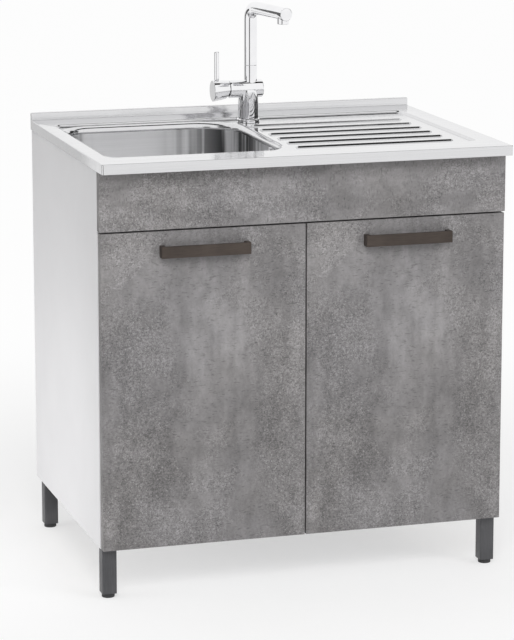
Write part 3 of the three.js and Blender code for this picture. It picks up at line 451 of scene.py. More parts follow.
def tinted(tree, value, stops):
    """A colour ramp from a value. Each stop is a place and a colour."""
    ramp = add(tree, "ShaderNodeValToRGB", {"Fac": value})
    band = ramp.color_ramp
    while len(band.elements) < len(stops):
        band.elements.new(0.5)
    for element, (place, colour) in zip(band.elements, stops):
        element.position = place
        element.color = (*colour, 1.0)
    return ramp.outputs["Color"]


def group(name, result, **inputs):
    """A node group with a place and other inputs. Returns its tree, its inputs and its result's socket."""
    tree = bpy.data.node_groups.new(name, "ShaderNodeTree")
    face = tree.interface
    face.new_socket("Vector", in_out="INPUT", socket_type="NodeSocketVector")
    for label, value in inputs.items():
        kind = "NodeSocketVector" if isinstance(value, tuple) else "NodeSocketFloat"
        face.new_socket(label, in_out="INPUT", socket_type=kind).default_value = value
    face.new_socket(result, in_out="OUTPUT", socket_type="NodeSocketFloat")
    given = tree.nodes.new("NodeGroupInput").outputs
    return tree, given, tree.nodes.new("NodeGroupOutput").inputs[result]


def use(tree, made, place, **inputs):
    """A placed node group's result."""
    node = add(tree, "ShaderNodeGroup", node_tree=made)
    tree.links.new(place, node.inputs["Vector"])
    for name, value in inputs.items():
        node.inputs[name].default_value = value
    return node.outputs[0]


# ---- Effects that several materials share ----


def cloud_group():
    """Soft clouds from 0 to 1. Low and High set how much of the noise is spread over that range."""
    tree, given, result = group("clouds", "Value", Scale=5.0, Detail=5.0, Low=0.35, High=0.65)
    drift = noise(tree, given["Vector"], given["Scale"], given["Detail"], 0.6, 0.25)
    tree.links.new(ranged(tree, drift, given["Low"], given["High"]), result)
    return tree


def streak_group():
    """Long fine marks. Stretch says how often they repeat along each axis, in marks a metre."""
    tree, given, result = group("streaks", "Value", Stretch=(4.0, 900.0, 900.0), Detail=3.0)
    spread = scaled(tree, given["Vector"], given["Stretch"])
    marks = noise(tree, spread, 1.0, given["Detail"], 0.65)
    tree.links.new(ranged(tree, marks, 0.3, 0.7), result)
    return tree


def speckle_group():
    """Small separate spots where a fine noise rises above a threshold."""
    tree, given, result = group("speckle", "Mask", Scale=300.0, Threshold=0.6, Softness=0.06)
    spots = noise(tree, given["Vector"], given["Scale"], 2.0, 0.5)
    high = sums(tree, "ADD", given["Threshold"], given["Softness"])
    tree.links.new(ranged(tree, spots, given["Threshold"], high), result)
    return tree


def patch_group():
    """A soft round patch: 1 at its centre and 0 outside its size."""
    tree, given, result = group("soft_patch", "Mask", Centre=(0.0, 0.0, 0.0), Size=(1.0, 1.0, 1.0))
    away = places(tree, "SUBTRACT", given["Vector"], given["Centre"])
    share = places(tree, "DIVIDE", away, given["Size"])
    reach = add(tree, "ShaderNodeVectorMath", {0: share}, operation="LENGTH").outputs["Value"]
    limits = {"Value": reach, "From Min": 1.0, "From Max": 0.1}
    fall = add(tree, "ShaderNodeMapRange", limits, interpolation_type="SMOOTHSTEP")
    tree.links.new(fall.outputs["Result"], result)
    return tree


def handling_group():
    """Faint smudges from hands and cloths: a roughness between two values."""
    tree, given, result = group("handling", "Roughness", Scale=14.0, Clean=0.3, Smudged=0.4)
    smudges = noise(tree, given["Vector"], given["Scale"], 4.0, 0.7, 0.8)
    tree.links.new(ranged(tree, smudges, 0.4, 0.7, given["Clean"], given["Smudged"]), result)
    return tree


CLOUDS = cloud_group()
STREAKS = streak_group()
SPECKLE = speckle_group()
PATCH = patch_group()
HANDLING = handling_group()


# ---- Materials ----


def material(name):
    """A material with its shader, and the place on the piece in metres."""
    made = bpy.data.materials.new(name)
    made.use_nodes = True
    tree = made.node_tree
    shader = tree.nodes["Principled BSDF"]
    place = tree.nodes.new("ShaderNodeTexCoord").outputs["Object"]
    return made, tree, shader, place


def dress(tree, shader, colour, roughness, height=None, depth=0.0):
    """Links a colour, a roughness and a bump of a real depth in millimetres."""
    tree.links.new(colour, shader.inputs["Base Color"])
    tree.links.new(roughness, shader.inputs["Roughness"])
    if height is not None:
        bump = add(tree, "ShaderNodeBump", {"Height": height, "Distance": depth * MM})
        tree.links.new(bump.outputs["Normal"], shader.inputs["Normal"])


# Dark grey of the painted reflections: bands painted into the bowl steel where its walls would mirror dark
# surroundings
PAINTED_REFLECTION_GREY = (0.03, 0.03, 0.032, 1.0)


def with_painted_reflections(tree, place, colour, painted_reflection_zones):
    """Painted reflections: upright dark bands painted into a metal's colour, within soft zones of (centre,
    size, strength).
    """
    upright = use(tree, STREAKS, place, Stretch=(34.0, 34.0, 0.7), Detail=2.0)
    band = ranged(tree, upright, 0.30, 0.62)
    for centre, size, strength in painted_reflection_zones:
        mask = use(tree, PATCH, place, Centre=centre, Size=size)
        share = times(tree, times(tree, mask, band), strength)
        colour = mixed(tree, share, colour, PAINTED_REFLECTION_GREY)
    return colour


def steel(name, stretch, roughness, light, dark, painted_reflection_zones=()):
    """Brushed sheet: fine marks along one way, faint smudges, and painted dark reflection bands in any
    zones given.
    """
    made, tree, shader, place = material(name)
    marks = use(tree, STREAKS, place, Stretch=stretch)
    broad = use(tree, STREAKS, place, Stretch=[s * 0.12 for s in stretch], Detail=2.0)
    both = weighed(tree, [(marks, 0.6), (broad, 0.4)])
    wiped = use(tree, HANDLING, place, Clean=roughness[0], Smudged=roughness[1])
    rough = weighed(tree, [(sums(tree, "SUBTRACT", both, 0.5), 0.09)], wiped)
    colour = tinted(tree, both, [(0.2, dark), (0.8, light)])
    # painted reflections: dark upright bands painted into the colour
    if painted_reflection_zones:
        colour = with_painted_reflections(tree, place, colour, painted_reflection_zones)
    shader.inputs["Metallic"].default_value = 1.0
    dress(tree, shader, colour, rough, both, 0.004)
    return made


def chrome(name):
    """Polished plate with a faint film."""
    made, tree, shader, place = material(name)
    film = use(tree, CLOUDS, place, Scale=30.0, Detail=3.0)
    colour = tinted(tree, film, [(0.0, (0.86, 0.86, 0.875)), (1.0, (0.91, 0.91, 0.92))])
    shader.inputs["Metallic"].default_value = 1.0
    dress(tree, shader, colour, use(tree, HANDLING, place, Scale=60.0, Clean=0.035, Smudged=0.075))
    return made


# Noise layers of the concrete print: offset in metres, marks a metre, detail, the range of noise
# spread over 0 to 1, and the squeeze along the height
PRINT_LAYERS = {
    "wide": ((0.0, 0.0, 0.0), 4.2, 4.0, (0.36, 0.66), 1.0),
    "middle": ((3.1, 0.0, 1.7), 20.0, 8.0, (0.36, 0.64), 0.5),
    "fine": ((7.7, 0.0, 5.2), 75.0, 5.0, (0.30, 0.70), 0.6),
    "clusters": ((5.4, 0.0, 3.3), 13.0, 5.0, (0.44, 0.60), 1.0),
    "grit": ((2.2, 0.0, 9.1), 230.0, 3.0, (0.30, 0.70), 1.0),
}
PRINT_WEIGHTS = {"wide": 0.21, "middle": 0.23, "fine": 0.18, "rain": 0.15}
PRINT_GREYS = [
    (0.0, (0.085, 0.083, 0.083)),
    (0.35, (0.155, 0.152, 0.153)),
    (0.6, (0.226, 0.222, 0.224)),
    (1.0, (0.362, 0.357, 0.360)),
]
PRINT_CASTS = [(0.0, (1.0, 0.978, 0.968)), (1.0, (0.998, 0.982, 0.988))]


def concrete(name, shift, turn=0.0, patches=(), base=0.5):
    """Printed concrete-look facing. Doors share one print, so shift puts each at the print's place.

    A dark patch is rough with speckle, and a pale one is smooth.
    """
    made, tree, shader, place = material(name)
    at = moved(tree, place, shift, turn)
    layers = {"rain": use(tree, STREAKS, at, Stretch=(26.0, 26.0, 2.6), Detail=4.0)}
    for layer, (offset, scale, detail, (low, high), squeeze) in PRINT_LAYERS.items():
        where = scaled(tree, moved(tree, at, offset), (1.0, 1.0, squeeze))
        layers[layer] = use(tree, CLOUDS, where, Scale=scale, Detail=detail, Low=low, High=high)
    darkest = base - sum(PRINT_WEIGHTS.values()) / 2
    tone = weighed(tree, [(layers[k], weight) for k, weight in PRINT_WEIGHTS.items()], darkest)

    zone = layers["clusters"]
    for centre, size, weight in patches:
        mask = use(tree, PATCH, at, Centre=centre, Size=size)
        tone = weighed(tree, [(mask, weight)], tone)
        zone = weighed(tree, [(mask, 1.0 if weight < 0 else -0.8)], zone)
    zone = ranged(tree, zone, -0.1, 0.8, 0.0, 1.25)
    grain = times(tree, sums(tree, "SUBTRACT", layers["grit"], 0.5), sums(tree, "ADD", zone, 0.35))
    dark_spots = use(tree, SPECKLE, at, Scale=420.0, Threshold=0.55)
    pale_spots = use(tree, SPECKLE, moved(tree, at, (9, 0, 4)), Scale=360.0, Threshold=0.58)
    dashes = use(tree, SPECKLE, scaled(tree, at, (0.22, 1.0, 1.0)), Scale=430.0, Threshold=0.62)
    speckle = [(times(tree, dark_spots, zone), -0.27), (times(tree, pale_spots, zone), 0.24)]
    tone = weighed(tree, [(grain, 0.30), *speckle, (dashes, -0.26)], tone)

    hue = use(tree, CLOUDS, moved(tree, at, (1.3, 0, 8.8)), Scale=6.0, Detail=3.0)
    grey = tinted(tree, tone, PRINT_GREYS)
    colour = mixed(tree, 1.0, grey, tinted(tree, hue, PRINT_CASTS), "MULTIPLY")
    roughness = ranged(tree, layers["fine"], 0.0, 1.0, 0.52, 0.66)
    dress(tree, shader, colour, roughness, sums(tree, "ADD", layers["fine"], dark_spots), 0.02)
    return made


def white_board(name):
    """Melamine facing: pale, with a fine pearl texture."""
    made, tree, shader, place = material(name)
    veil = use(tree, CLOUDS, place, Scale=3.0, Detail=3.0)
    pearl = use(tree, CLOUDS, place, Scale=900.0, Detail=2.0)
    colour = tinted(tree, veil, [(0.0, (0.665, 0.66, 0.67)), (1.0, (0.70, 0.695, 0.705))])
    wiped = use(tree, HANDLING, place, Scale=9.0, Clean=0.42, Smudged=0.5)
    dress(tree, shader, colour, wiped, pearl, 0.012)
    return made


def chipboard(name):
    """The raw edge of a board: pressed wood chips and dust."""
    made, tree, shader, place = material(name)
    grid = scaled(tree, place, (420.0, 420.0, 900.0))
    chips = add(tree, "ShaderNodeTexVoronoi", {"Vector": grid, "Scale": 1.0})
    chip_tone = add(tree, "ShaderNodeSeparateColor", {0: chips.outputs["Color"]}).outputs[0]
    dust = use(tree, CLOUDS, place, Scale=500.0, Detail=3.0)
    both = weighed(tree, [(chip_tone, 0.65), (dust, 0.35)])
    stops = [(0.1, (0.30, 0.19, 0.10)), (0.5, (0.50, 0.35, 0.21)), (0.95, (0.66, 0.51, 0.34))]
    dress(tree, shader, tinted(tree, both, stops), ranged(tree, dust, 0, 1, 0.75, 0.92), both, 0.12)
    return made


def coated(name, dark, light, roughness, metallic, grain, depth):
    """A painted, anodised or moulded surface with a faint grain, whose bump is depth millimetres deep."""
    made, tree, shader, place = material(name)
    marks = use(tree, STREAKS, place, Stretch=grain)
    veil = use(tree, CLOUDS, place, Scale=12.0, Detail=4.0)
    both = weighed(tree, [(marks, 0.55), (veil, 0.45)])
    colour = tinted(tree, both, [(0.15, dark), (0.85, light)])
    wiped = use(tree, HANDLING, place, Scale=25.0, Clean=roughness, Smudged=roughness + 0.1)
    shader.inputs["Metallic"].default_value = metallic
    dress(tree, shader, colour, wiped, both, depth)
    return made


def plain(level):
    return (level, level, level)


MOULDED = plain(1400.0)
BAR_GRAIN = (30.0, 900.0, 900.0)
POST_GRAIN = (700.0, 700.0, 30.0)
# Painted reflections on the bowl: dark upright bands painted on its right wall and its rear left corner,
# each as centre, size and strength in metres
BOWL_PAINTED_REFLECTIONS = (
    ((-0.02, 0.13, 0.77), (0.17, 0.24, 0.5), 0.97),
    ((-0.355, 0.175, 0.77), (0.07, 0.09, 0.5), 0.9),
)
DECK_TONES = ((0.76, 0.76, 0.77), (0.68, 0.68, 0.69))
BOWL_TONES = ((0.93, 0.93, 0.94), (0.84, 0.84, 0.85))
DECK_STEEL = steel("deck_steel", (5.0, 1300.0, 1300.0), (0.10, 0.17), *DECK_TONES)
BOWL_STEEL_PAINTED_REFLECTIONS = steel("bowl_steel_painted_reflections", (7.0, 7.0, 1500.0), (0.34, 0.44), *BOWL_TONES, BOWL_PAINTED_REFLECTIONS)
CHROME = chrome("chrome_plate")
ZINC = coated("zinc_plate", (0.52, 0.52, 0.53), (0.64, 0.64, 0.65), 0.28, 1.0, MOULDED, 0.004)
WHITE_BOARD = white_board("white_board")
CHIPBOARD = chipboard("raw_board_edge")
BRONZE = coated("handle_bronze", (0.036, 0.027, 0.022), (0.072, 0.055, 0.045), 0.42, 0.35, BAR_GRAIN, 0.01)
LEG_GREY = coated("leg_grey", (0.060, 0.060, 0.064), (0.094, 0.094, 0.100), 0.42, 0.2, POST_GRAIN, 0.01)
FOOT_BLACK = coated("foot_black", (0.024, 0.024, 0.025), (0.042, 0.042, 0.044), 0.6, 0.0, MOULDED, 0.03)
WHITE_PLASTIC = coated("white_plastic", (0.74, 0.74, 0.72), (0.80, 0.80, 0.785), 0.38, 0.0, MOULDED, 0.015)
GREY_PLASTIC = coated("grey_plastic", (0.24, 0.25, 0.26), (0.32, 0.33, 0.34), 0.45, 0.0, MOULDED, 0.015)
RUBBER = coated("seal_rubber", plain(0.012), plain(0.026), 0.7, 0.0, MOULDED, 0.03)


# ---- Camera, floor and light, in metres ----

PHOTO = (514, 640)  # the photograph's width and height in pixels
FOCAL_PIXELS = 2835.9
CENTRE_RISE = 70.0  # pixels from the photograph's middle up to the camera's axis
SENSOR = 36.0
EYE = (-1.6093, -5.2271, 1.6458)
EYE_PITCH = 10.810
EYE_YAW = 16.958
FLOOR_REACH = 20.0
SHADOW_REACH = 2.1
FLAG_DISTANCE = 2.2
AIR_LIGHT = 0.62


def look():
    lens = bpy.data.cameras.new("camera")
    lens.sensor_width = SENSOR
    lens.lens = FOCAL_PIXELS * SENSOR / PHOTO[1]
    lens.shift_y = -CENTRE_RISE / PHOTO[1]
    eye = piece_from(lens, "camera")
    eye.location = EYE
    eye.rotation_euler = (math.radians(90 - EYE_PITCH), 0, math.radians(-EYE_YAW))
    bpy.context.scene.camera = eye
    bpy.context.scene.view_settings.view_transform = "Standard"


def seen_directly(tree):
    """1 for rays from the camera, and for mirrored and refracted ones."""
    path = add(tree, "ShaderNodeLightPath").outputs
    seen = sums(tree, "MAXIMUM", path["Is Camera Ray"], path["Is Glossy Ray"])
    return sums(tree, "MAXIMUM", seen, path["Is Transmission Ray"])


def studio_sheet(name, corners, made):
    mesh = bpy.data.meshes.new(name)
    mesh.from_pydata(corners, [], [(0, 1, 2, 3)])
    mesh.materials.append(made)
    return piece_from(mesh, name)


def studio_floor():
    """White paper that keeps the unit's shadow and shows white to the camera and in the metal."""
    made, tree, shader, place = material("studio_floor")
    grain = use(tree, CLOUDS, place, Scale=2.0)
    paper = tinted(tree, grain, [(0.0, plain(0.93)), (1.0, plain(0.95))])
    tree.links.new(paper, shader.inputs["Base Color"])
    shader.inputs["Roughness"].default_value = 0.9
    shader.inputs["Specular IOR Level"].default_value = 0.0
    white = add(tree, "ShaderNodeEmission", {"Color": (1, 1, 1, 1), "Strength": 1.0})
    near = use(tree, PATCH, place, Size=(SHADOW_REACH, SHADOW_REACH, 1.0))
    share = times(tree, seen_directly(tree), ranged(tree, near, 0.0, 1.0, 0.95, 0.5))
    both = add(tree, "ShaderNodeMixShader", {0: share, 1: shader.outputs[0], 2: white.outputs[0]})
    tree.links.new(both.outputs[0], tree.nodes["Material Output"].inputs["Surface"])
    square = ((-1, -1), (1, -1), (1, 1), (-1, 1))
    corners = [(x * FLOOR_REACH, y * FLOOR_REACH, 0) for x, y in square]
    studio_sheet("studio_floor", corners, made)


def studio_air():
    """White all round for the camera and the metal, and a soft grey as light on the unit."""
    world = bpy.data.worlds.new("studio_air")
    world.use_nodes = True
    tree = world.node_tree
    back = tree.nodes["Background"]
    back.inputs["Color"].default_value = (1, 1, 1, 1)
    tree.links.new(ranged(tree, seen_directly(tree), 0.0, 1.0, AIR_LIGHT, 1.0), back.inputs["Strength"])
    bpy.context.scene.world = world


def soft_lamp(name, place, aim, size, power, spread=180):
    lamp = bpy.data.lights.new(name, "AREA")
    lamp.shape = "DISK"
    lamp.size = size
    lamp.energy = power
    lamp.spread = math.radians(spread)
    holder = piece_from(lamp, name)
    holder.location = place
    holder.rotation_euler = (Vector(aim) - Vector(place)).to_track_quat("-Z", "Y").to_euler()
    holder.visible_camera = False
    holder.visible_glossy = False


def flag(name, corners, tone):
    """A dark studio flag that shows only as a band in polished metal."""
    made, _, shader, _ = material(name)
    shader.inputs["Base Color"].default_value = (0, 0, 0, 1)
    shader.inputs["Roughness"].default_value = 1.0
    shader.inputs["Emission Color"].default_value = (1, 1, 1, 1)
    shader.inputs["Emission Strength"].default_value = tone
    sheet = studio_sheet(name, corners, made)
    sheet.visible_camera = False
    sheet.visible_diffuse = False
    sheet.visible_shadow = False


def upright_flag(name, bearings, foot, top, tone):
    """An upright flag between two bearings, in degrees from the front to the left."""
    ends = []
    for turn in [math.radians(bearing) for bearing in bearings]:
        x = TAP.x * MM - FLAG_DISTANCE * math.sin(turn)
        ends.append((x, TAP.y * MM - FLAG_DISTANCE * math.cos(turn)))
    (x0, y0), (x1, y1) = ends
    flag(name, [(x0, y0, foot), (x1, y1, foot), (x1, y1, top), (x0, y0, top)], tone)


look()
studio_floor()
studio_air()
soft_lamp("key_lamp", place=(-1.5, -4.3, 3.8), aim=(0, 0, 0.5), size=2.4, power=120)
soft_lamp("low_lamp", place=(-1.5, 0.05, 0.30), aim=(-0.4, 0.05, 0.14), size=0.5, power=0.9, spread=75)
soft_lamp("fill_lamp", place=(3.4, -3.6, 2.6), aim=(0, 0, 0.5), size=2.4, power=45)
flag("overhead_flag", [(-3, -0.40, 2.9), (3, -0.40, 2.9), (3, 0.50, 2.9), (-3, 0.50, 2.9)], tone=0.02)
upright_flag("left_flag", bearings=(26, 44), foot=0.0, top=1.5, tone=0.16)
upright_flag("rear_left_flag", bearings=(112, 140), foot=0.0, top=1.5, tone=0.12)
upright_flag("rear_low_flag", bearings=(148, 178), foot=0.05, top=0.95, tone=0.64)
upright_flag("high_right_flag", bearings=(-58, -128), foot=1.0, top=2.2, tone=0.03)
upright_flag("high_left_flag", bearings=(66, 108), foot=1.0, top=2.2, tone=0.12)


# ---- Simple closed solids ----


def capped(loops, name="part"):
    """A closed solid through a list of loops, with flat ends."""
    skin = Skin()
    first, last = skin.stack(loops)
    skin.face(first[::-1])
    skin.face(last)
    return solid(skin, name)


def block(x0, x1, y0, y1, z0, z1):
    square = [(x0, y0), (x1, y0), (x1, y1), (x0, y1)]
    return capped([[(x, y, z) for x, y in square] for z in (z0, z1)])


def slab(area, radii, z0, z1, edge=0.0, name="part"):
    """A plate with round corners, and with its upper and lower edges rounded."""
    bend = arc(edge, 90, 4) if edge else [(0, 0)]
    levels = [(s - edge, z0 + edge - c) for c, s in bend]
    levels += [(grow, z1 + z0 - z) for grow, z in levels[::-1]]
    skin = Skin()
    low, high = skin.stack(outlines(area, levels, 6, radii))
    skin.flat(low, [])
    skin.flat(high, [])
    return solid(skin, name)


def rod(axis, radius, start, end, u, v, edges=(0.0, 0.0), steps=64, pitch=1e9, name="part"):
    """A closed cylinder along X or Z, with its two ends' edges rounded."""
    centre = {"x": (0, u, v), "z": (u, v, 0)}[axis]
    profile = [(0, start), (radius, start), (radius, end), (0, end)]
    turned = ringed(rounded(profile, {1: edges[0], 2: edges[1]}), pitch)
    return solid(revolved(turned, centre, axis, steps, closed=False), name)


# ---- Sink deck: folded rim, pressed field, rolled bowl opening, drainer ribs and upstand ----

HOLD = 0.1  # narrow level strip that keeps the shading of a flat part level
BOWL_STEPS = 16


def rib_skin(skin, y):
    """One drainer rib: an evenly sloped flank with rounded bends, and a flat top. Returns its foot."""
    area = (*RIB_SPAN, y - RIB_HALF, y + RIB_HALF)
    slope = math.radians(RIB_SLOPE)
    radius = RIB_FOOT / math.sin(slope)
    flank = RIB_HEIGHT - 2 * radius * (1 - math.cos(slope))
    width = RIB_FOOT + flank / math.tan(slope) + RIB_FOOT
    top = FIELD + RIB_HEIGHT
    bend = arc(radius, RIB_SLOPE, 4)
    levels = [(HOLD, FIELD)]
    levels += [(-s, FIELD + radius - c) for c, s in bend]
    levels += [(s - width, top - radius + c) for c, s in bend[::-1]]
    levels.append((0.3 - RIB_HALF, top))
    foot, ridge = skin.stack(outlines(area, levels, 8, (RIB_HALF,) * 4))
    skin.flat(ridge, [])
    return foot


def sink_deck():
    skin = Skin()
    folded = [(0, rim_low.z), (0, DECK - RIM_ROUND - 0.2)]
    folded += [(c - RIM_ROUND, DECK - RIM_ROUND + s) for c, s in arc(RIM_ROUND, 90, 6)]
    folded.append((-RIM_ROUND - HOLD, DECK))
    _, rim_top = skin.stack(outlines(RIM, folded, 6, (RIM_CORNER,) * 4))

    x0, x1, y0, y1 = RIM
    inset = FIELD_INSETS
    field = (x0 + inset["left"], x1 - inset["right"], y0 + inset["front"], y1 - inset["rear"])
    start, end = FIELD_STEP
    border = [(start + HOLD, DECK)]
    for step in range(10):
        t = step / 9
        border.append((start + (end - start) * t, DECK - FIELD_DEPTH * ease(t)))
    border.append((end - HOLD, FIELD))
    border_top, border_foot = skin.stack(outlines(field, border, 12, (FIELD_CORNER,) * 4))
    skin.flat(rim_top, [border_top])

    rolled = [(BOWL_EDGE + HOLD, FIELD)]
    rolled += [(BOWL_EDGE - s, FIELD - BOWL_EDGE + c) for c, s in arc(BOWL_EDGE, 90, 10)]
    rolled.append((0, FIELD - BOWL_EDGE - BOWL_COLLAR))
    mouth, _ = skin.stack(outlines(BOWL, rolled, BOWL_STEPS, BOWL_CORNERS))

    first, last = RIB_LINES
    pitch = (last - first) / (RIB_COUNT - 1)
    feet = [rib_skin(skin, first + i * pitch) for i in range(RIB_COUNT)]
    hole = skin.loop(circle(TAP.x, TAP.y, TAP_HOLE, FIELD, 48))
    skin.flat(border_foot, [mouth, *feet, hole])
    deck = pressed(skin, "sink_deck_sheet", outward=False)
    return combine(deck, [upstand(), upstand_bend()], "UNION")


def upstand():
    """The hollow fold that stands up along the back."""
    front = RIM[3] - UPSTAND_DEPTH
    radii = (0.5, 0.5, RIM_CORNER, RIM_CORNER)
    outer = slab((RIM[0], RIM[1], front, RIM[3]), radii, rim_low.z - 5, rim_high.z, RIM_ROUND)
    trim = block(RIM[0] - 5, RIM[1] + 5, RIM[3] - 20, RIM[3] + 5, rim_low.z - 10, rim_low.z)
    hollow = (RIM[0] + 2, RIM[1] - 2, front + SHEET, RIM[3] - SHEET)
    inner = block(*hollow, rim_low.z - 9, rim_high.z - SHEET)
    return combine(outer, [trim, inner], "DIFFERENCE")


def upstand_bend():
    """The small inside bend at the foot of the upstand."""
    y = RIM[3] - UPSTAND_DEPTH
    start = y - UPSTAND_BEND
    top = DECK + UPSTAND_BEND
    profile = [(start + s, top - c) for c, s in arc(UPSTAND_BEND, 90, 6)]
    profile += [(y + 0.5, top), (y + 0.5, DECK - 0.5), (start, DECK - 0.5)]
    ends = (RIM[0] + RIM_ROUND, RIM[1] - RIM_ROUND)
    return capped([[(x, a, b) for a, b in profile] for x in ends])


finish(sink_deck(), "cabinet", [DECK_STEEL], ["sink_deck"])


# ---- Sink bowl ----

OVERFLOW = Vector((BOWL[1], BOWL_MIDDLE.y - 74.0, FIELD - 29.0))
OVERFLOW_HOLE = 13.0


def ring_round_drain(radius):
    """A circle on the floor with as many points as the bowl's outline."""
    parts = [k + step / BOWL_STEPS for k in range(4) for step in range(BOWL_STEPS + 1)]
    turns = [math.pi + part * math.pi / 2 for part in parts]
    x, y, _ = BOWL_MIDDLE
    return [(x + radius * math.cos(a), y + radius * math.sin(a), BOWL_FLOOR) for a in turns]


def sink_bowl():
    """Walls with a little draft, a round bend at their foot, and a floor that falls to the drain."""
    bend_top = BOWL_FLOOR + BOWL_FALL + BOWL_FLOOR_ROUND
    levels = [(0, bowl_high.z), (0, FIELD - BOWL_EDGE - BOWL_UPRIGHT), (-BOWL_DRAFT, bend_top)]
    for c, s in arc(BOWL_FLOOR_ROUND, 90, 10)[1:]:
        levels.append((c - BOWL_FLOOR_ROUND - BOWL_DRAFT, bend_top - s))
    loops = outlines(BOWL, levels, BOWL_STEPS, BOWL_CORNERS)
    edge = loops[-1]
    drain = ring_round_drain(DRAIN_FLAT)
    for step in range(1, 7):
        t = step / 6
        loops.append([tuple(Vector(a).lerp(Vector(b), t)) for a, b in zip(edge, drain)])
    loops.append(ring_round_drain(DRAIN_HOLE))
    skin = Skin()
    skin.stack(loops)
    bowl = pressed(skin, "sink_bowl_shell", outward=True)
    hole = rod("x", OVERFLOW_HOLE, OVERFLOW.x - 6, OVERFLOW.x + 6, OVERFLOW.y, OVERFLOW.z)
    return combine(bowl, [hole], "DIFFERENCE")


finish(sink_bowl(), "cabinet", [BOWL_STEEL_PAINTED_REFLECTIONS], ["sink_bowl"])


# ---- Tap ----

COLUMN = 20.5
BARREL = 17.8
RISER = 13.0
SPOUT_TUBE = 12.9
RISER_X = TAP.x + 5.0
STUB_TOP = FIELD + 115.0
SPIGOT = 9.2
SPIGOT_DEPTH = 26.0
SHANK = 16.0
SHANK_FOOT = FIELD - 56.0
INLET = 4.5
SEAT_GAP = 0.3
BASE_RING = 23.0
BASE_RING_HEIGHT = 8.0
BARREL_SPAN = (TAP.x - 40.3, TAP.x + 28.0)
CARTRIDGE_BORE = BARREL - 2.7
SPOUT_CORNER = Vector((RISER_X, TAP.y, FIELD + 231.5))
SPOUT_BEND = 27.0
SPOUT_REACH = 150.0
SPOUT_BORE = 7.8
ARM_TURN = math.radians(11.0)
ARM_FALL = math.radians(0.8)
ARM_LEVEL = Vector((math.sin(ARM_TURN), -math.cos(ARM_TURN), 0))
ARM_WAY = ARM_LEVEL * math.cos(ARM_FALL) - Vector((0, 0, math.sin(ARM_FALL)))
OUTLET = SPOUT_CORNER + ARM_WAY * (SPOUT_REACH - 14.0)
AERATOR = 11.6
AERATOR_BORE = 7.6
AERATOR_NECK = 9.3
KNOB_FACE = BARREL_SPAN[0] - 1.2
KNOB_LENGTH = 33.0
KNOB_FLARE = 3.6
KNOB_SAG = 2.2
KNOB_TILT = 20.0
KNOB_SOCKET = 4.3
ROD_RADIUS = 5.0
ROD_FOOT = 3.0
ROD_X = KNOB_FACE - KNOB_LENGTH + 9.0
rod_low, rod_high = span("lever_rod")


def tap_body():
    """The cast column, cross barrel and riser stub, with their bores."""
    foot = FIELD + BASE_RING_HEIGHT + SEAT_GAP
    column = rod("z", COLUMN, foot, BARREL_AXIS, TAP.x, TAP.y, (0.8, 1.8), 96, 4, "tap_body_cast")
    shank = rod("z", SHANK, SHANK_FOOT, BARREL_AXIS, TAP.x, TAP.y, (1.0, 0))
    barrel = rod("x", BARREL, *BARREL_SPAN, TAP.y, BARREL_AXIS, (0.8, 1.6), 96, 4)
    stub = rod("z", RISER, BARREL_AXIS, STUB_TOP, RISER_X, TAP.y, (0, 0.5), 96, 4)
    combine(column, [shank, barrel, stub], "UNION")
    socket_foot = STUB_TOP - SPIGOT_DEPTH - 3
    socket = rod("z", SPIGOT + 0.4, socket_foot, STUB_TOP + 1, RISER_X, TAP.y)
    bore = rod("x", CARTRIDGE_BORE, BARREL_SPAN[0] - 1, TAP.x + 2, TAP.y, BARREL_AXIS)
    inlet_ends = (SHANK_FOOT - 1, SHANK_FOOT + 14)
    inlets = [rod("z", INLET, *inlet_ends, TAP.x + x, TAP.y, steps=32) for x in (-7, 7)]
    return combine(column, [socket, bore, *inlets], "DIFFERENCE")


def spout_line(from_z, arm):
    """Points along the spout's middle, from a height on the riser to a length along its arm."""
    before = SPOUT_CORNER - Vector((0, 0, SPOUT_BEND))
    after = SPOUT_CORNER + ARM_WAY * SPOUT_BEND
    line = [Vector((RISER_X, TAP.y, from_z)), Vector((RISER_X, TAP.y, (from_z + before.z) / 2))]
    for step in range(21):
        t = step / 20
        line.append(before.lerp(SPOUT_CORNER, t).lerp(SPOUT_CORNER.lerp(after, t), t))
    return line + [SPOUT_CORNER + ARM_WAY * (SPOUT_BEND + (arm - SPOUT_BEND) * k / 8) for k in range(1, 9)]


def spout():
    """A bent tube with a rounded end, and the spigot on which it turns."""
    edge = 1.2
    line = spout_line(STUB_TOP + 0.4, SPOUT_REACH - edge)
    radii = [SPOUT_TUBE] * len(line)
    for c, s in arc(edge, 90, 5)[1:]:
        line.append(SPOUT_CORNER + ARM_WAY * (SPOUT_REACH - edge + s))
        radii.append(SPOUT_TUBE - edge + c)
    tube = swept(line, radii, 96, "spout_tube")
    spigot = rod("z", SPIGOT, STUB_TOP - SPIGOT_DEPTH, STUB_TOP + 2.4, RISER_X, TAP.y, (0.6, 0))
    combine(tube, [spigot], "UNION")
    way = swept(spout_line(STUB_TOP - SPIGOT_DEPTH - 1, SPOUT_REACH - 5), SPOUT_BORE, 32)
    hole = rod("z", AERATOR - 2, OUTLET.z - RISER - 4, OUTLET.z, OUTLET.x, OUTLET.y)
    return combine(tube, [way, hole], "DIFFERENCE")


def outlet_ring(radius, low, high, edge=0.0, name="part"):
    """A ring round the outlet's bore, with its lower outer edge rounded."""
    wall = [(AERATOR_BORE, low), (radius, low), (radius, high), (AERATOR_BORE, high)]
    return solid(revolved(rounded(wall, {1: edge}), (OUTLET.x, OUTLET.y, 0)), name)


def aerator():
    """A collar cut to fit the arm's underside, with a thinner neck that reaches into the arm."""
    low = OUTLET.z - RISER - 7.0
    collar = outlet_ring(AERATOR, low, OUTLET.z - 6, 1.0, "aerator_shell")
    arm = swept(spout_line(STUB_TOP, SPOUT_REACH + 20), RISER + 0.3, 64)
    combine(collar, [arm], "DIFFERENCE")
    return combine(collar, [outlet_ring(AERATOR_NECK, low + 1, OUTLET.z - 1)], "UNION")


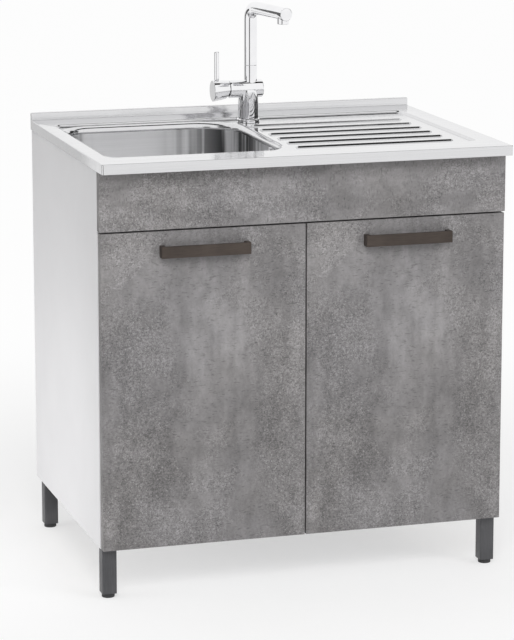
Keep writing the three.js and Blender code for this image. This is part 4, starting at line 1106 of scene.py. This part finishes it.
def lever_knob():
    """A flared knob whose middle sinks towards its end, cut back below so that it can tilt."""
    edge = 1.2
    lip = 0.4
    stations = [(lip - c, s - lip) for c, s in arc(lip, 90, 2)]
    stations += [(KNOB_LENGTH * k / 12, 0) for k in range(1, 12)]
    stations += [(KNOB_LENGTH - edge + s, c - edge) for c, s in arc(edge, 90, 5)]
    turns = [2 * math.pi * i / 96 for i in range(96)]
    loops = []
    for along, grow in stations:
        x = KNOB_FACE - along
        radius = BARREL + KNOB_FLARE * along / KNOB_LENGTH + grow
        z = BARREL_AXIS - KNOB_SAG * along / KNOB_LENGTH
        loops.append([(x, TAP.y + radius * math.cos(a), z + radius * math.sin(a)) for a in turns])
    knob = capped(loops, "lever_knob_cast")
    half = KNOB_SOCKET
    square = (TAP.y - half, TAP.y + half, BARREL_AXIS - half, BARREL_AXIS + half)
    socket = block(KNOB_FACE - 13, KNOB_FACE + 1, *square)
    deep = BARREL + 8
    back = math.tan(math.radians(KNOB_TILT)) * deep + 0.4
    front = KNOB_FACE + 5
    shape = [(KNOB_FACE - 0.4, 0), (KNOB_FACE - back, -deep), (front, -deep), (front, 0)]
    wedge = capped([[(x, TAP.y + side, BARREL_AXIS + z) for x, z in shape] for side in (-30, 30)])
    hole = rod("z", ROD_RADIUS - 1.7, rod_low.z - 1, rod_low.z + 20, ROD_X, TAP.y, steps=32)
    return combine(knob, [socket, wedge, hole], "DIFFERENCE")


def lever_rod():
    """A rod with a rounded tip, thinner where it is pressed into the knob."""
    low, high = rod_low.z, rod_high.z
    foot = [(0, low), (ROD_FOOT, low), (ROD_FOOT, low + 8), (ROD_RADIUS, low + 8)]
    turned = rounded([*foot, (ROD_RADIUS, high), (0, high)], {1: 0.4, 3: 0.4, 4: 2.2}, 6)
    return solid(revolved(ringed(turned, 6), (ROD_X, TAP.y, 0), closed=False), "lever_rod_turned")


def base_ring():
    low = FIELD + SEAT_GAP
    top = FIELD + BASE_RING_HEIGHT
    bore = SHANK + 0.4
    profile = [(bore, low), (BASE_RING, low), (BASE_RING, top - 1.5), (BASE_RING - 1.5, top), (bore, top)]
    turned = rounded(profile, {1: 0.3, 2: 0.6, 3: 0.6})
    return solid(revolved(turned, (TAP.x, TAP.y, 0), steps=96), "tap_base_ring_turned")


for build, body, node in (
    (tap_body, "cabinet", "tap_body"),
    (base_ring, "cabinet", "tap_base_ring"),
    (spout, "spout_arm", "spout"),
    (aerator, "spout_arm", "aerator"),
    (lever_knob, "mixer_lever", "lever_knob"),
    (lever_rod, "mixer_lever", "lever_rod"),
):
    finish(build(), body, [CHROME], [node])


# ---- Boards and doors ----

DOOR_PITCH = 0.398
PRINT_PATCHES = (
    ((-0.32, 0, 0.20), (0.12, 1, 0.24), -0.12),
    ((-0.36, 0, 0.50), (0.09, 1, 0.11), -0.05),
    ((-0.21, 0, 0.58), (0.17, 1, 0.20), 0.07),
    ((-0.20, 0, 0.38), (0.14, 1, 0.24), 0.05),
    ((-0.05, 0, 0.34), (0.08, 1, 0.30), -0.06),
)
DOOR_PRINTS = {
    "left": concrete("concrete_left_door", (0, 0, 0), patches=PRINT_PATCHES),
    "right": concrete("concrete_right_door", (-DOOR_PITCH, 0, 0), patches=PRINT_PATCHES),
}
FASCIA_PRINT = concrete("concrete_fascia", (0.35, 0, 2.4), turn=math.pi / 2, base=0.57)
SIDES = ("left", "right")
BACK = Vector((0, 1, 0))
UP = Vector((0, 0, 1))
RAW_EDGES = {
    "left_side_panel": (BACK, UP, -UP),
    "right_side_panel": (BACK, UP, -UP),
    "bottom_panel": (BACK,),
    "front_rail": (UP,),
    "rear_top_rail": (UP,),
    "rear_lower_rail": (UP,),
}


def painted(piece, ways):
    """Gives the faces that point in any of some directions the piece's second material."""
    for face in piece.data.polygons:
        face.material_index = int(any(face.normal.dot(way) > 0.9 for way in ways))
    return piece


for board, ways in RAW_EDGES.items():
    panel = painted(refined(board, 0.5), ways)
    finish(panel, "cabinet", [WHITE_BOARD, CHIPBOARD], [board])
fascia = painted(refined("fascia_panel", 0.6), (BACK,))
finish(fascia, "cabinet", [FASCIA_PRINT, WHITE_BOARD], ["fascia_panel"])
for side in SIDES:
    door = painted(refined(f"{side}_door_panel", 0.6, 55), (BACK,))
    finish(door, f"{side}_door", [DOOR_PRINTS[side], WHITE_BOARD], [f"{side}_door_panel"])


# ---- Handles ----

HANDLE_FOOT = 9.0
HANDLE_BAR = 5.5


def handle(side):
    """A flat bar on two feet, bent from one piece, with soft edges."""
    low, high = span(f"{side}_handle")
    area = (low.x, high.x, low.y, high.y)
    bar = slab(area, (2.0,) * 4, low.z, high.z, 0.8, f"{side}_handle_bar")
    gap = (low.x + HANDLE_FOOT, high.x - HANDLE_FOOT, low.y + HANDLE_BAR, high.y + 9)
    inner = slab(gap, (2.5,) * 4, low.z - 1, high.z + 1)
    return soften(combine(bar, [inner], "DIFFERENCE"), 0.5, 60)


for side in SIDES:
    finish(handle(side), f"{side}_door", [BRONZE], [f"{side}_handle"])


# ---- Legs and feet ----

LEG_CORNER = 2.5
LEG_BORE = 5.4
FOOT_HEIGHT = 7.7
FOOT_SCREW = 5.0
ENDS = ("front", "rear")


def leg(node):
    """A square post, bored for the screw of its foot. Returns it and its middle."""
    low, high = span(node)
    middle = (low + high) / 2
    area = (low.x, high.x, low.y, high.y)
    post = slab(area, (LEG_CORNER,) * 4, low.z, high.z, 0.6, node + "_post")
    bore = rod("z", LEG_BORE, low.z - 1, high.z / 2, middle.x, middle.y, steps=32)
    return combine(post, [bore], "DIFFERENCE"), middle


def foot(node, middle):
    """A round pad on a screw."""
    low, high = span(node)
    top = low.z + FOOT_HEIGHT
    radius = high.x - middle.x
    pad = [(0, low.z), (radius, low.z), (radius, top), (FOOT_SCREW, top)]
    turned = rounded([*pad, (FOOT_SCREW, high.z), (0, high.z)], {1: 1.2, 2: 1.0, 4: 0.8})
    return solid(revolved(turned, (middle.x, middle.y, 0), closed=False), node + "_turned")


for end in ENDS:
    for side in SIDES:
        node = f"{end}_{side}_leg"
        post, middle = leg(node)
        finish(post, "cabinet", [LEG_GREY], [node])
        node = f"{end}_{side}_foot"
        finish(foot(node, middle), node + "_screw", [FOOT_BLACK], [node])


# ---- Strainer basket, its holes made as copies of one cutter ----


def copies_tree():
    """Copies of one object at every point of a mesh, each turned by its own amount about its length."""
    tree = bpy.data.node_groups.new("placed_copies", "GeometryNodeTree")
    sockets = {
        "Points": "NodeSocketGeometry",
        "Copied": "NodeSocketObject",
        "Turn": "NodeSocketVector",
        "Spin": "NodeSocketFloat",
        "Seed": "NodeSocketInt",
        "Material": "NodeSocketMaterial",
    }
    for label, kind in sockets.items():
        tree.interface.new_socket(label, in_out="INPUT", socket_type=kind)
    tree.interface.new_socket("Copies", in_out="OUTPUT", socket_type="NodeSocketGeometry")
    given = tree.nodes.new("NodeGroupInput").outputs
    source = add(tree, "GeometryNodeObjectInfo", {"Object": given["Copied"]}, transform_space="ORIGINAL")
    points = {"Points": given["Points"], "Instance": source.outputs["Geometry"], "Rotation": given["Turn"]}
    placed = add(tree, "GeometryNodeInstanceOnPoints", points)
    amount = {2: 0.0, 3: given["Spin"], 8: given["Seed"]}
    chance = add(tree, "FunctionNodeRandomValue", amount, data_type="FLOAT")
    spin = add(tree, "ShaderNodeCombineXYZ", {"Z": chance.outputs[1]})
    turn = {"Instances": placed.outputs[0], "Rotation": spin.outputs[0]}
    turned = add(tree, "GeometryNodeRotateInstances", turn)
    real = add(tree, "GeometryNodeRealizeInstances", {0: turned.outputs[0]})
    set_material = {"Geometry": real.outputs[0], "Material": given["Material"]}
    dressed = add(tree, "GeometryNodeSetMaterial", set_material)
    tree.links.new(dressed.outputs[0], tree.nodes.new("NodeGroupOutput").inputs[0])
    return tree


COPIES = copies_tree()


def copied(original, points, turn, spin, material, name):
    """One mesh of copies of an object, at points in millimetres. Removes the original."""
    mesh = bpy.data.meshes.new(name)
    mesh.from_pydata([Vector(p) * MM for p in points], [], [])
    piece = piece_from(mesh, name)
    step = piece.modifiers.new("copies", "NODES")
    step.node_group = COPIES
    values = {"Copied": original, "Turn": turn, "Spin": spin, "Seed": 7, "Material": material}
    for item in COPIES.interface.items_tree:
        if item.in_out == "INPUT" and item.name in values:
            step[item.identifier] = values[item.name]
    baked(piece)
    bpy.data.objects.remove(original)
    return piece


HOLE_ROWS = ((9.0, 8), (14.5, 14), (20.0, 20), (25.5, 26))  # radius and number of holes
HOLE = 1.5


def strainer_basket():
    """A pressed cup with a rolled rim and rings of holes in its floor."""
    cup = [(0, -26.2), (30.1, -26.2), (36.1, -20.2), (36.1, -1.2), (41.1, 1.8), (41.1, 3.3), (39.1, 3.3)]
    cup += [(34.6, -0.7), (34.6, -19.7), (29.6, -24.7), (0, -24.7)]
    corners = {1: 2.0, 2: 2.0, 3: 1.0, 4: 0.6, 5: 0.6, 6: 0.6, 7: 1.0, 8: 1.6, 9: 1.6}
    x, y, _ = BOWL_MIDDLE
    skin = revolved(rounded(cup, corners), (x, y, BOWL_FLOOR), closed=False)
    basket = solid(skin, "strainer_basket_cup")
    points = []
    for radius, count in HOLE_ROWS:
        points += circle(x, y, radius, BOWL_FLOOR - 25.5, count)
    cutter = rod("z", HOLE, -3, 3, 0, 0, steps=16)
    holes = copied(cutter, points, (0.0, 0.0, 0.0), 0.0, CHROME, "holes")
    return combine(basket, [holes], "DIFFERENCE")


finish(strainer_basket(), "basket", [CHROME], ["strainer_basket"])


# ---- Fittings whose solids already have their form: merged copies with softened edges ----

HINGES = [f"{side}_{level}_hinge" for side in SIDES for level in ("lower", "upper")]
CLIPS = [f"{end}_{side}_sink_clip" for end in ENDS for side in SIDES]
TRAP = ["tail_pipe", "trap_body", "trap_cup", "trap_outlet_pipe", "drain_nut"]
SLOTS = {"chrome_plate": CHROME, "white_plastic": WHITE_PLASTIC, "seal_rubber": RUBBER}
SLOTS.update({"grey_plastic": GREY_PLASTIC, "zinc_steel": ZINC})


def hinge_parts(parts, side=""):
    return [f"{hinge}_{part}" for hinge in HINGES if hinge.startswith(side) for part in parts]


FITTINGS = (  # slot, width of the softened edges, body and solids
    ("chrome_plate", 0.3, "cabinet", ["drain_flange", "overflow_cover"]),
    ("chrome_plate", 0.6, "basket", ["basket_knob"]),
    ("white_plastic", 0.4, "cabinet", ["overflow_elbow", "overflow_pipe", *TRAP]),
    ("seal_rubber", 0.3, "cabinet", ["drain_gasket", "tap_fixing_washer"]),
    ("grey_plastic", 0.3, "cabinet", ["cartridge_housing"]),
    ("grey_plastic", 0.3, "mixer_turret", ["cartridge_turret"]),
    ("zinc_steel", 0.3, "mixer_lever", ["lever_spindle"]),
    ("zinc_steel", 0.4, "cabinet", ["tap_fixing_nut", *CLIPS]),
    ("zinc_steel", 0.2, "cabinet", hinge_parts(("arm", "plate"))),
    ("zinc_steel", 0.2, "left_door", hinge_parts(("cup",), "left")),
    ("zinc_steel", 0.2, "right_door", hinge_parts(("cup",), "right")),
)
for slot, edge, body, nodes in FITTINGS:
    for node in nodes:
        finish(refined(node, edge, 35), body, [SLOTS[slot]], [node])


# ---- Screws of the hinges: one head, copied to every place ----

HINGE_LEVELS = (198.0, 600.7)
PLATE_FACE = 377.1
PLATE_SCREW_Y = -208.5
PLATE_SCREW_STEP = 20.0
WING_SCREW = (368.0, -247.25)
WING_SCREW_STEP = 24.0


def screw_head():
    """A pan head with a cross recess."""
    profile = rounded([(0, 0), (3.5, 0), (3.5, 0.9), (2.1, 1.5), (0, 1.5)], {2: 0.4, 3: 0.4})
    head = solid(revolved(profile, (0, 0, 0), steps=32, closed=False), "screw_head")
    slots = [block(-1.9, 1.9, -0.4, 0.4, 0.6, 3), block(-0.4, 0.4, -1.9, 1.9, 0.6, 3)]
    return combine(head, slots, "DIFFERENCE")


def hinge_screws(x, y, step, turn, name):
    """Screws above and below the middle of each of a door's hinges."""
    points = [(x, y, z + rise) for z in HINGE_LEVELS for rise in (-step, step)]
    return copied(screw_head(), points, turn, math.pi, ZINC, name)


plate_rows = []
for side, way in zip(SIDES, (-1, 1)):
    turn = (0.0, -way * math.pi / 2, 0.0)
    row = (way * PLATE_FACE, PLATE_SCREW_Y, PLATE_SCREW_STEP)
    plate_rows.append(hinge_screws(*row, turn, f"{side}_plate_screws"))
    turn = (-math.pi / 2, 0.0, 0.0)
    row = (way * WING_SCREW[0], WING_SCREW[1], WING_SCREW_STEP)
    finish(hinge_screws(*row, turn, f"{side}_cup_screws"), f"{side}_door", [ZINC])
plate_screws = combine(plate_rows[0], plate_rows[1:], "UNION")
plate_screws.name = "hinge_plate_screws"
finish(plate_screws, "cabinet", [ZINC])
